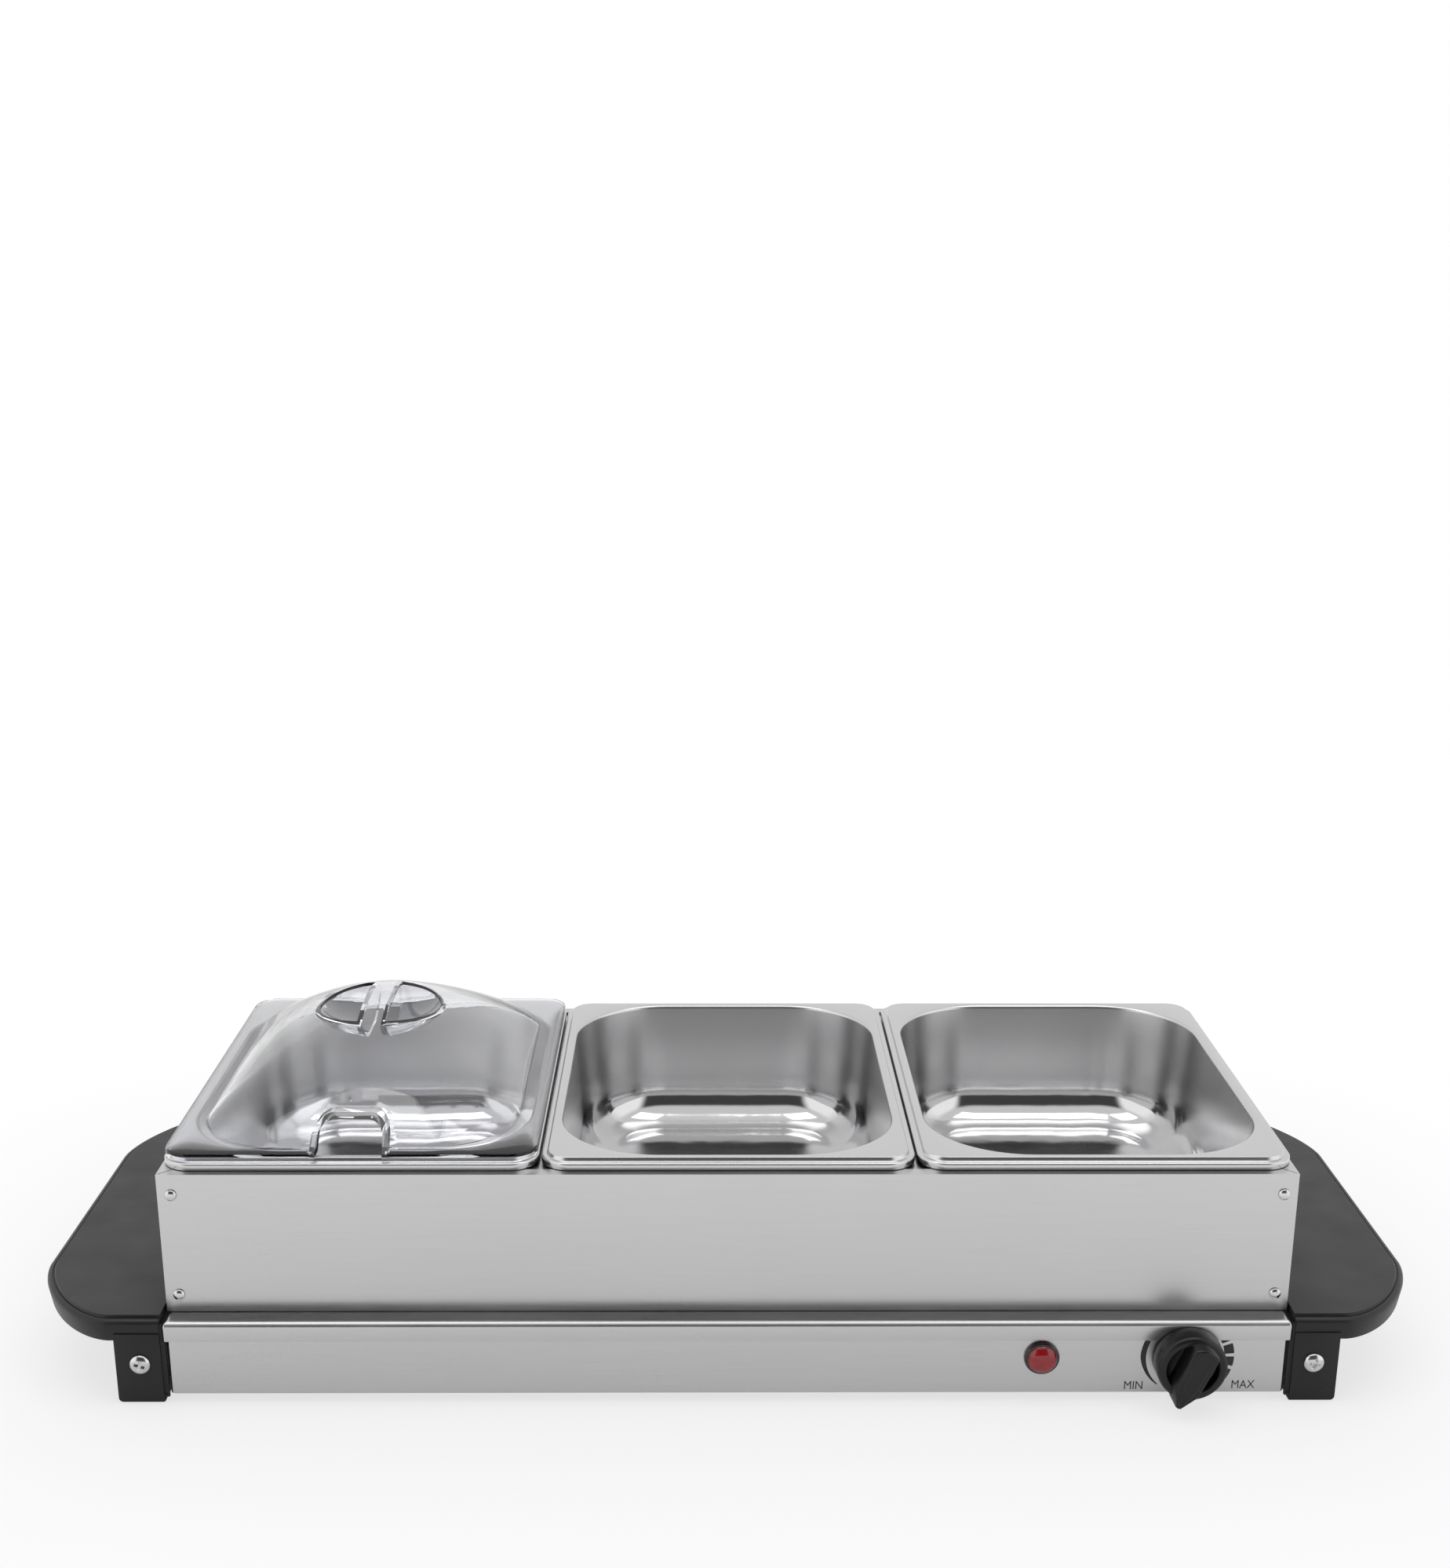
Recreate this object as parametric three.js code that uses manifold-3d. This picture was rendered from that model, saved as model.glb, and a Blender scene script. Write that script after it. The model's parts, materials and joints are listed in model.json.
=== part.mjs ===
// Electric buffet server: a warming base with end handles, a lift-off frame, three hanging food
// pans, and a clear lid on the left pan. Millimetres, +X to the right, +Y to the back, +Z up.
// The origin is on the table, under the middle of the whole object's box; the body's own middle
// plane is BODY_SHIFT behind it.
import * as THREE from "three";
import { mergeVertices } from "three/addons/utils/BufferGeometryUtils.js";
import Module from "manifold-3d";

const wasm = await Module();
wasm.setup();

// ---- driving dimensions ----

const GAP = 0.3; // between pieces that touch
const SHEET = 0.8; // stainless sheet
const BODY_WIDTH = 500;

// warming plate: the base's tray top, with a turned-down edge
const PLATE_DEPTH = 244;
const PLATE_TOP = 39.7;
const PLATE_EDGE_HEIGHT = 9.2;
const PLATE_EDGE_RADIUS = 2.6;

// base shell: the wall under the plate's edge
const SHELL_SETBACK = 1.0;
const SHELL_BOTTOM = 4.5;
const SHELL_TOP = 36;
const SHELL_FLANGE = 16;
const COVER_OVERLAP = 10;
const COVER_VENTS = 6;
const COVER_VENT_PITCH = 60;

// lift-off frame
const FRAME_DEPTH = 222;
const FRAME_BOTTOM = PLATE_TOP + GAP;
const FRAME_TOP = 106;
const FRAME_FLANGE = 6;
const RIVET_X = 244;
const RIVET_Z = [48.3, 96.4];
const RIVET_HEAD_RADIUS = 2.75;
const RIVET_SHANK_RADIUS = 1.5;

// pans
const PAN_PITCH = BODY_WIDTH / 3;
const PAN_HALF_X = 82.9;
const PAN_HALF_Y = 107.5;
const PAN_Y = 0.5;
const PAN_TOP = 111.2;
const PAN_LIP_BOTTOM = FRAME_TOP + GAP;
const PAN_SHOULDER = 109.4;
const PAN_FLOOR = 48;
const PAN_SHEET = 0.7;
const PAN_CORNER_RADIUS = 13; // of the rim
const PAN_OPENING_RADIUS = 45; // of the opening's corners
const PAN_FLOOR_RADIUS = 19;

// lid
const LID_HALF_X = 82.3;
const LID_HALF_Y = 107;
const LID_Y = 1;
const LID_WALL = 2;
const LID_FLANGE_TOP = 113.5;
const LID_LIP_BOTTOM = 109.8;
const LID_LIP_WALL = 1.3;
const LID_CORNER_RADIUS = 12.5;
const DOME_HALF_X = 71.3;
const DOME_HALF_Y = 98.5;
const DOME_CORNER_RADIUS = 38;
const DOME_HEIGHT = 38.5;
const WELL_BRIDGE = 13;
const WELL_DEPTH = 17;
const WELL_STEPS = [[9, 0], [17, 2.5], [25, 6.5], [31, 14]]; // radius at a height over the well's floor
const NOTCH_WIDTH = 29;
const NOTCH_TOP = 124.2;
const NOTCH_RADIUS = 7;
const NOTCH_COLLAR = 2.4;
const NOTCH_LEAN = 14; // how far the collar's front leans back, from its foot to the notch's top

// handles
const HANDLE_REACH = 316.4; // from the middle to the outer edge
const HANDLE_INNER = 251.5; // from the middle to the side beside the body
const HANDLE_TOP = 42;
const HANDLE_BOTTOM = 30.3;
const HANDLE_CORNER_X = 42;
const HANDLE_CORNER_Y = 59;
const HANDLE_CORNER_POWER = 1.25; // above 1 the corner is flatter than an ellipse's
const HANDLE_CORNER_STEPS = 7;
const HANDLE_WALL = 2.8;
const HANDLE_EDGE_RADIUS = 1.6;
const LEG_OUTER = 271.8;
const LEG_DEPTH = 24;
const LEG_BOTTOM = 0.8;
const LEG_FLOOR = 3.4;
const LEG_STRIP_SETBACK = 1.2; // the strip that closes the gap beside the body
const LEG_STRIP_TOP = 38;
const PAD_X = 261.7;
const PAD_RADIUS = 6;
const PAD_RECESS = 1.2;
const SCREW_X = 260.8;
const SCREW_Z = 19.8;
const SCREW_HEAD_RADIUS = 4.75;
const SCREW_SHANK_RADIUS = 1.9;

// control and lamp
const CONTROL_X = 204.5;
const CONTROL_Z = 22;
const KNOB_RADIUS = 15.5;
const KNOB_LIFT = SHELL_SETBACK + 0.4; // the knob's skirt clears the plate's edge
const KNOB_SKIRT = 12.2; // how far the skirt's rim stands out of the panel
const KNOB_REACH = 18.5; // how far the knob stands out of the panel
const KNOB_POINTER = 18;
const KNOB_REST_ANGLE = THREE.MathUtils.degToRad(24); // pointer, left of straight down
const SHAFT_RADIUS = 3;
const LAMP_X = 139.5;
const LAMP_RADIUS = 7.9;

// inner parts
const ELEMENT_RADIUS = 3.2;
const ELEMENT_Z = PLATE_TOP - SHEET - ELEMENT_RADIUS - GAP;
const ELEMENT_ROWS = [-72, -24, 24, 72];
const ELEMENT_REACH = 180;
const FUSE_Y = 48;
const FUSE_Z = ELEMENT_Z - 1;
const TERMINALS = [150, 82, 14];
const TERMINAL_WAYS = [-18, -6, 6, 18];
const EARTH_X = 112;
const EARTH_Y = 56;
const GLAND_X = 205;
const GLAND_Z = 20;
const GLAND_REACH = 6.5;

// derived places
const PANEL_Y = -PLATE_DEPTH / 2 + SHELL_SETBACK; // outside of the base's front wall
const BODY_SHIFT = (KNOB_REACH - GLAND_REACH) / 2;

const FINISHES = {
  brushed: { color: 0xc3c4c6, roughness: 0.34, metalness: 1 },
  polished: { color: 0xd2d3d5, roughness: 0.16, metalness: 1 },
  zinc: { color: 0x9fa1a3, roughness: 0.45, metalness: 1 },
  heater: { color: 0x5d5a55, roughness: 0.55, metalness: 1 },
  satinBlack: { color: 0x2b2b2c, roughness: 0.48, metalness: 0 },
  knobBlack: { color: 0x1b1b1c, roughness: 0.4, metalness: 0 },
  rubber: { color: 0x1a1a1a, roughness: 0.85, metalness: 0 },
  clear: { color: 0xeef1f4, roughness: 0.06, metalness: 0, transparent: true, opacity: 0.32 },
  redLens: { color: 0x9a0f12, roughness: 0.2, metalness: 0 },
  ceramic: { color: 0xe7e2d4, roughness: 0.6, metalness: 0 },
  wireBrown: { color: 0x6b3b1e, roughness: 0.6, metalness: 0 },
  wireBlue: { color: 0x1f4fa0, roughness: 0.6, metalness: 0 },
  wireEarth: { color: 0x7aa22c, roughness: 0.6, metalness: 0 },
};

// ---- helpers ----

function piece(name, geometry, finish) {
  geometry.computeVertexNormals();
  const mesh = new THREE.Mesh(geometry, new THREE.MeshStandardMaterial(FINISHES[finish]));
  mesh.name = name;
  return mesh;
}

function place(object, x, y, z) {
  object.position.set(x, y, z);
  return object;
}

// A box between two limits on each axis.
function slab([x0, x1], [y0, y1], [z0, z1]) {
  const box = new THREE.BoxGeometry(x1 - x0, y1 - y0, z1 - z0);
  return box.translate((x0 + x1) / 2, (y0 + y1) / 2, (z0 + z1) / 2);
}

// A round bar along the Y axis, from y0 to y1.
function barAlongY(radius, y0, y1, x = 0, z = 0, sides = 20) {
  return new THREE.CylinderGeometry(radius, radius, y1 - y0, sides).translate(x, (y0 + y1) / 2, z);
}

// A round bar along the Z axis, from z0 to z1.
function barAlongZ(radius, z0, z1, x = 0, y = 0, sides = 20) {
  return barAlongY(radius, z0, z1, 0, 0, sides).rotateX(Math.PI / 2).translate(x, y, 0);
}

// A turned piece about the Z axis. The profile is a list of [radius, z], from bottom to top.
function turned(profile, sides = 24) {
  const points = profile.map(([radius, z]) => new THREE.Vector2(radius, z));
  return new THREE.LatheGeometry(points, sides).rotateX(Math.PI / 2);
}

// A turned piece whose +Z end is turned to face the front, -Y.
function turnedToFront(profile, sides = 24) {
  return turned(profile, sides).rotateX(Math.PI / 2);
}

function solidOf(geometry) {
  const bare = geometry.clone();
  bare.deleteAttribute("normal");
  bare.deleteAttribute("uv");
  const merged = mergeVertices(bare, 1e-4);
  return new wasm.Manifold(
    new wasm.Mesh({
      numProp: 3,
      vertProperties: merged.attributes.position.array,
      triVerts: new Uint32Array(merged.index.array),
    }),
  );
}

function geometryOf(solid) {
  const mesh = solid.getMesh();
  const geometry = new THREE.BufferGeometry();
  geometry.setAttribute("position", new THREE.BufferAttribute(mesh.vertProperties, 3));
  geometry.setIndex(new THREE.BufferAttribute(mesh.triVerts, 1));
  return geometry.toNonIndexed();
}

function cut(geometry, ...tools) {
  return geometryOf(tools.reduce((solid, tool) => solid.subtract(solidOf(tool)), solidOf(geometry)));
}

function join(geometry, ...others) {
  return geometryOf(others.reduce((solid, other) => solid.add(solidOf(other)), solidOf(geometry)));
}

function keepInside(geometry, limit) {
  return geometryOf(solidOf(geometry).intersect(solidOf(limit)));
}

// A rectangle with round corners, as points at height z, counter-clockwise from above.
function roundedOutline(halfX, halfY, radius, z, cornerSteps = 4) {
  const corners = [[1, 1], [-1, 1], [-1, -1], [1, -1]];
  return corners.flatMap(([sideX, sideY], quarter) =>
    Array.from({ length: cornerSteps + 1 }, (_, step) => {
      const angle = ((quarter + step / cornerSteps) * Math.PI) / 2;
      return new THREE.Vector3(
        sideX * (halfX - radius) + radius * Math.cos(angle),
        sideY * (halfY - radius) + radius * Math.sin(angle),
        z,
      );
    }),
  );
}

// The same outline, with more points along its four straight sides.
function withSidePoints(outline, count) {
  const perCorner = outline.length / 4;
  return outline.flatMap((point, i) => {
    if (i % perCorner !== perCorner - 1) return [point];
    const next = outline[(i + 1) % outline.length];
    const between = Array.from({ length: count }, (_, k) => point.clone().lerp(next, (k + 1) / (count + 1)));
    return [point, ...between];
  });
}

// The skin over a stack of outlines. Its two ends are closed flat, or meet when the stack is a ring.
function loft(outlines, ring = false) {
  const count = outlines[0].length;
  const points = outlines.flat();
  const faces = [];
  const rows = ring ? outlines.length : outlines.length - 1;
  for (let row = 0; row < rows; row += 1) {
    const next = (row + 1) % outlines.length;
    for (let i = 0; i < count; i += 1) {
      const j = (i + 1) % count;
      const [a, b, c, d] = [row * count + i, row * count + j, next * count + j, next * count + i];
      faces.push(a, b, c, a, c, d);
    }
  }
  if (!ring) {
    const last = (outlines.length - 1) * count;
    for (const [start, facesUp] of [[0, false], [last, true]]) {
      const middle = new THREE.Vector3();
      for (let i = 0; i < count; i += 1) middle.addScaledVector(points[start + i], 1 / count);
      points.push(middle);
      for (let i = 0; i < count; i += 1) {
        const [a, b] = [start + i, start + ((i + 1) % count)];
        faces.push(points.length - 1, facesUp ? a : b, facesUp ? b : a);
      }
    }
  }
  const geometry = new THREE.BufferGeometry().setFromPoints(points);
  geometry.setIndex(faces);
  return geometry.toNonIndexed();
}

// The other side of a sheet: a profile of [inset, z, radius] stations, moved by its thickness.
function otherSide(stations, thickness) {
  return stations.map(([inset, z, radius], i) => {
    const before = stations[Math.max(i - 1, 0)];
    const after = stations[Math.min(i + 1, stations.length - 1)];
    const [inA, zA] = [inset - before[0], z - before[1]];
    const [inB, zB] = [after[0] - inset, after[1] - z];
    const [lengthA, lengthB] = [Math.hypot(inA, zA) || 1, Math.hypot(inB, zB) || 1];
    const normal = new THREE.Vector2(zA / lengthA + zB / lengthB, -inA / lengthA - inB / lengthB);
    normal.normalize();
    const along = new THREE.Vector2(zA / lengthA || zB / lengthB, -inA / lengthA || -inB / lengthB);
    const reach = thickness / Math.max(normal.dot(along.normalize()), 0.7);
    const [stepIn, stepUp] = [normal.x * reach, normal.y * reach];
    return [inset + stepIn, z + stepUp, Math.max(radius - stepIn, 0.4)];
  });
}

// Stations along a quarter-round, from one [inset, z] to another about a centre.
function roundStations([inset, z], size, fromDegrees, toDegrees, steps, radiusAt) {
  return Array.from({ length: steps + 1 }, (_, step) => {
    const angle = THREE.MathUtils.degToRad(fromDegrees + ((toDegrees - fromDegrees) * step) / steps);
    const at = inset + size * Math.cos(angle);
    return [at, z + size * Math.sin(angle), radiusAt(at)];
  });
}

// ---- pans ----

// The pan's upper surface, from the lip's lower edge over the rim and down to the floor.
function panStations() {
  const rimRadius = (inset) => PAN_CORNER_RADIUS - inset;
  const wallRadius = (inset) => PAN_OPENING_RADIUS - (inset - openingInset);
  const lipRadius = 0.8;
  const openingInset = 7.2;
  const openingEdge = 1.8;
  const wallFoot = 9.8;
  const edgeCentre = [openingInset - openingEdge, PAN_TOP - openingEdge];
  const floorCentre = [wallFoot + PAN_FLOOR_RADIUS, PAN_FLOOR + PAN_FLOOR_RADIUS];
  return [
    [0, PAN_LIP_BOTTOM, rimRadius(0)],
    ...roundStations([lipRadius, PAN_SHOULDER - lipRadius], lipRadius, 180, 90, 1, rimRadius),
    [2.4, PAN_SHOULDER, rimRadius(2.4)],
    [3, PAN_TOP, rimRadius(3)],
    ...roundStations(edgeCentre, openingEdge, 90, 6, 2, wallRadius),
    ...roundStations(floorCentre, PAN_FLOOR_RADIUS, 183, 270, 5, wallRadius),
  ];
}

function pan(name) {
  const upper = panStations();
  const outline = ([inset, z, radius]) =>
    roundedOutline(PAN_HALF_X - inset, PAN_HALF_Y - inset, radius, z);
  const under = otherSide(upper, PAN_SHEET).reverse();
  under[under.length - 1][1] = PAN_LIP_BOTTOM;
  return piece(name, loft([...under, ...upper].map(outline)), "polished");
}

// ---- lid ----

// A ring of the dome. Low rings are nearly rectangular; they turn into ellipses towards the crown.
function domeOutline(share, halfX, halfY, z) {
  const rounded = roundedOutline(halfX * share, halfY * share, DOME_CORNER_RADIUS * share, z);
  const outline = withSidePoints(rounded, 2);
  outline.forEach((point) => {
    const spread = Math.hypot(point.x / (halfX * share), point.y / (halfY * share));
    const toEllipse = 1 + (1 / spread - 1) * (1 - share * share);
    point.x *= toEllipse;
    point.y *= toEllipse;
  });
  return outline;
}

function domeHeight(share) {
  return DOME_HEIGHT * (1 - share ** 1.8) ** (1 / 1.2);
}

function domeRings(shares, inward, drop) {
  return shares.map((share) => {
    const z = LID_FLANGE_TOP - drop + domeHeight(share);
    return domeOutline(share, DOME_HALF_X - inward, DOME_HALF_Y - inward, z);
  });
}

function lidShell() {
  const shares = [1, 0.94, 0.85, 0.74, 0.61, 0.47, 0.32, 0.16, 0.04];
  const flangeRing = (inset, z) => {
    const ring = roundedOutline(LID_HALF_X - inset, LID_HALF_Y - inset, LID_CORNER_RADIUS - inset, z);
    return withSidePoints(ring, 2);
  };
  const inner = [
    flangeRing(LID_LIP_WALL, LID_LIP_BOTTOM),
    flangeRing(LID_LIP_WALL, LID_FLANGE_TOP - LID_WALL),
    ...domeRings(shares, 1, LID_WALL),
  ];
  const outer = [
    flangeRing(0, LID_LIP_BOTTOM),
    flangeRing(0, LID_FLANGE_TOP - 0.6),
    flangeRing(0.6, LID_FLANGE_TOP),
    ...domeRings(shares, 0, 0),
  ];
  return loft([...inner.reverse(), ...outer]);
}

// Everything under the dome's inner face.
function domeInside() {
  const shares = [1, 0.92, 0.8, 0.66, 0.5, 0.33, 0.17, 0.05];
  const lowest = domeOutline(1, DOME_HALF_X - 1, DOME_HALF_Y - 1, 60);
  return loft([lowest, ...domeRings(shares, 1, LID_WALL)]);
}

// One finger well: a half-round pocket beside the bridge that narrows to its floor, grown by a margin.
function fingerWell(side, margin, bottom, top) {
  const halfRound = (radius, z) => {
    const flat = WELL_BRIDGE / 2 - margin;
    const reach = Math.acos(flat / radius);
    return Array.from({ length: 13 }, (_, i) => {
      const angle = -reach + (2 * reach * i) / 12;
      return new THREE.Vector3(radius * Math.cos(angle), radius * Math.sin(angle), z);
    });
  };
  const outlines = WELL_STEPS.map(([radius, height]) => halfRound(radius + margin, bottom + height));
  outlines.push(halfRound(WELL_STEPS.at(-1)[0] + margin, top));
  const geometry = loft(outlines);
  return side > 0 ? geometry : geometry.rotateZ(Math.PI);
}

// The spoon notch seen from the front: an arch with round top corners.
function notchArch(grow, y0, y1) {
  const half = NOTCH_WIDTH / 2 + grow;
  const top = NOTCH_TOP + grow;
  const radius = NOTCH_RADIUS + grow;
  const arch = new THREE.Shape();
  arch.moveTo(-half, LID_LIP_BOTTOM - 10);
  arch.lineTo(half, LID_LIP_BOTTOM - 10);
  arch.lineTo(half, top - radius);
  arch.absarc(half - radius, top - radius, radius, 0, Math.PI / 2);
  arch.absarc(-half + radius, top - radius, radius, Math.PI / 2, Math.PI);
  const depth = y1 - y0;
  const geometry = new THREE.ExtrudeGeometry(arch, { depth, bevelEnabled: false, curveSegments: 4 });
  return geometry.rotateX(Math.PI / 2).translate(0, y1, 0);
}

// The space that the notch's collar may fill: its front leans back from the flange's front edge.
function collarLimit() {
  const [front, back] = [-LID_HALF_Y, -LID_HALF_Y + 34];
  const rise = NOTCH_TOP - LID_FLANGE_TOP;
  const side = new THREE.Shape();
  side.moveTo(front, LID_FLANGE_TOP - LID_WALL);
  side.lineTo(front, LID_FLANGE_TOP);
  side.lineTo(front + 2 * NOTCH_LEAN, LID_FLANGE_TOP + 2 * rise);
  side.lineTo(back, LID_FLANGE_TOP + 2 * rise);
  side.lineTo(back, LID_FLANGE_TOP - LID_WALL);
  const geometry = new THREE.ExtrudeGeometry(side, { depth: 2 * NOTCH_WIDTH, bevelEnabled: false });
  return geometry.rotateX(Math.PI / 2).rotateZ(Math.PI / 2).translate(-NOTCH_WIDTH, 0, 0);
}

function lid(name) {
  const crown = LID_FLANGE_TOP + DOME_HEIGHT;
  const wellFloor = crown - WELL_DEPTH;
  const notchDepth = [-LID_HALF_Y - 5, -LID_HALF_Y + 30];
  const collar = cut(keepInside(notchArch(NOTCH_COLLAR, ...notchDepth), collarLimit()), domeInside());
  const cups = [-1, 1].map((side) =>
    keepInside(fingerWell(side, LID_WALL, wellFloor - LID_WALL, crown - 3), domeUnderSkin()),
  );
  const pockets = [-1, 1].map((side) => fingerWell(side, 0, wellFloor, crown + 5));
  const body = cut(join(lidShell(), collar, ...cups), ...pockets, notchArch(0, ...notchDepth));
  return piece(name, body, "clear");
}

// Everything under the middle of the dome's wall, to trim the wells' cups.
function domeUnderSkin() {
  const shares = [1, 0.85, 0.66, 0.5, 0.33, 0.17, 0.05];
  const lowest = domeOutline(1, DOME_HALF_X - 0.5, DOME_HALF_Y - 0.5, 60);
  return loft([lowest, ...domeRings(shares, 0.5, LID_WALL / 2)]);
}

// ---- lift-off frame ----

// A folded panel: a wall with inward flanges at its top and foot, mitred at the frame's corners. It
// runs along X, its outer face on y = 0, and the frame's corners are at x = -cornerX and cornerX.
function foldedPanel(length, cornerX) {
  const profile = new THREE.Shape();
  const top = FRAME_TOP - FRAME_BOTTOM;
  profile.moveTo(0, 0);
  profile.lineTo(FRAME_FLANGE, 0);
  profile.lineTo(FRAME_FLANGE, SHEET);
  profile.lineTo(SHEET, SHEET);
  profile.lineTo(SHEET, top - SHEET);
  profile.lineTo(FRAME_FLANGE, top - SHEET);
  profile.lineTo(FRAME_FLANGE, top);
  profile.lineTo(0, top);
  const panel = new THREE.ExtrudeGeometry(profile, { depth: length, bevelEnabled: false });
  panel.rotateX(Math.PI / 2).rotateZ(Math.PI / 2).translate(-length / 2, 0, FRAME_BOTTOM);
  const mitres = [-1, 1].map((side) => {
    const past = FRAME_FLANGE + 2;
    const wedge = new THREE.Shape();
    wedge.moveTo(side * (cornerX - SHEET - GAP), SHEET);
    wedge.lineTo(side * (cornerX + 2), SHEET);
    wedge.lineTo(side * (cornerX + 2), past);
    wedge.lineTo(side * (cornerX - past - GAP), past);
    return new THREE.ExtrudeGeometry(wedge, { depth: FRAME_TOP + 2, bevelEnabled: false });
  });
  return cut(panel, ...mitres);
}

function rivetHoles(radius, y0, y1) {
  return [-1, 1].flatMap((side) =>
    RIVET_Z.map((z) => barAlongY(radius, y0, y1, side * RIVET_X, z, 12)),
  );
}

function frameLongPanel(name, side) {
  const panel = cut(foldedPanel(BODY_WIDTH, BODY_WIDTH / 2), ...rivetHoles(RIVET_SHANK_RADIUS + GAP, -2, 3));
  const mesh = piece(name, panel, "brushed");
  mesh.rotation.z = side < 0 ? 0 : Math.PI;
  return place(mesh, 0, (side * FRAME_DEPTH) / 2, 0);
}

// A side panel: the same folded wall, with a tab turned in behind each long panel for the rivets.
function frameSidePanel(name, side) {
  const length = FRAME_DEPTH - 2 * (SHEET + GAP);
  const tabDepth = 14;
  const tabs = [-1, 1].map((end) => {
    const edge = (end * length) / 2;
    const reach = [edge, edge - end * SHEET].sort((a, b) => a - b);
    return slab(reach, [0, tabDepth], [FRAME_BOTTOM + 2 * SHEET, FRAME_TOP - 2 * SHEET]);
  });
  const holes = [-1, 1].flatMap((end) =>
    RIVET_Z.map((z) => {
      const radius = RIVET_SHANK_RADIUS + GAP;
      const hole = new THREE.CylinderGeometry(radius, radius, 6, 12).rotateZ(Math.PI / 2);
      return hole.translate((end * length) / 2, BODY_WIDTH / 2 - RIVET_X, z);
    }),
  );
  const mesh = piece(name, cut(join(foldedPanel(length, FRAME_DEPTH / 2), ...tabs), ...holes), "brushed");
  mesh.rotation.z = side < 0 ? -Math.PI / 2 : Math.PI / 2;
  return place(mesh, (side * BODY_WIDTH) / 2, 0, 0);
}

// An upside-down channel under the joint between two pans.
function frameDivider(name) {
  const half = 5.2;
  const legs = 9;
  const top = FRAME_TOP - SHEET - GAP;
  const length = FRAME_DEPTH / 2 - SHEET - GAP;
  const channel = new THREE.Shape();
  channel.moveTo(-half, top - legs);
  channel.lineTo(-half + SHEET, top - legs);
  channel.lineTo(-half + SHEET, top - SHEET);
  channel.lineTo(half - SHEET, top - SHEET);
  channel.lineTo(half - SHEET, top - legs);
  channel.lineTo(half, top - legs);
  channel.lineTo(half, top);
  channel.lineTo(-half, top);
  const geometry = new THREE.ExtrudeGeometry(channel, { depth: 2 * length, bevelEnabled: false });
  return piece(name, geometry.rotateX(Math.PI / 2).translate(0, length, 0), "brushed");
}

// A domed rivet through a long panel and the tab behind it; its head faces the front.
function rivet(name, x, side, z) {
  const grip = 2 * SHEET + 3 * GAP;
  const profile = [
    [0, -grip - 1],
    [2.3, -grip - 1],
    [2.3, -grip],
    [RIVET_SHANK_RADIUS, -grip],
    [RIVET_SHANK_RADIUS, 0],
    [RIVET_HEAD_RADIUS, 0],
    [RIVET_HEAD_RADIUS * 0.75, 1],
    [0, 1.4],
  ];
  const mesh = piece(name, turnedToFront(profile, 10), "polished");
  mesh.rotation.z = side < 0 ? 0 : Math.PI;
  return place(mesh, x, side * (FRAME_DEPTH / 2 + GAP / 2), z);
}

// ---- base ----

function warmingPlate() {
  const station = (inset, z) =>
    roundedOutline(BODY_WIDTH / 2 - inset, PLATE_DEPTH / 2 - inset, Math.max(3 - inset, 0.5), z, 3);
  const foot = PLATE_TOP - PLATE_EDGE_HEIGHT;
  const outer = [0, 30, 60, 90].map((degrees) => {
    const angle = THREE.MathUtils.degToRad(degrees);
    const inset = PLATE_EDGE_RADIUS * (1 - Math.cos(angle));
    return station(inset, PLATE_TOP - PLATE_EDGE_RADIUS * (1 - Math.sin(angle)));
  });
  const under = [
    station(PLATE_EDGE_RADIUS + 1, PLATE_TOP - SHEET),
    station(SHEET, PLATE_TOP - PLATE_EDGE_RADIUS),
    station(SHEET, foot),
  ];
  return piece("warming_plate", loft([...under, station(0, foot), ...outer]), "brushed");
}

function baseShell() {
  const halfX = BODY_WIDTH / 2 - SHELL_SETBACK;
  const halfY = PLATE_DEPTH / 2 - SHELL_SETBACK;
  const station = (inset, z) =>
    roundedOutline(halfX - inset, halfY - inset, Math.max(2.5 - inset, 0.5), z, 3);
  const walls = loft(
    [
      station(0, SHELL_BOTTOM),
      station(0, SHELL_TOP),
      station(SHEET, SHELL_TOP),
      station(SHEET, SHELL_BOTTOM + SHEET),
      station(SHELL_FLANGE, SHELL_BOTTOM + SHEET),
      station(SHELL_FLANGE, SHELL_BOTTOM),
    ],
    true,
  );
  return piece(
    "base_shell",
    cut(
      walls,
      barAlongY(5.3, -halfY - 2, -halfY + 3, CONTROL_X, CONTROL_Z),
      barAlongY(6.3, -halfY - 2, -halfY + 3, LAMP_X, CONTROL_Z),
      barAlongY(6, halfY - 3, halfY + 2, GLAND_X, GLAND_Z),
      ...coverScrewHoles(SHELL_BOTTOM - 1, SHELL_BOTTOM + 2),
    ),
    "brushed",
  );
}

function coverScrewPlaces() {
  const x = BODY_WIDTH / 2 - SHELL_SETBACK - SHELL_FLANGE + COVER_OVERLAP / 2;
  const y = PLATE_DEPTH / 2 - SHELL_SETBACK - SHELL_FLANGE + COVER_OVERLAP / 2;
  return [[-x, -y], [x, -y], [-x, y], [x, y]];
}

function coverScrewHoles(z0, z1) {
  return coverScrewPlaces().map(([x, y]) => barAlongZ(2.1, z0, z1, x, y, 12));
}

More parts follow.
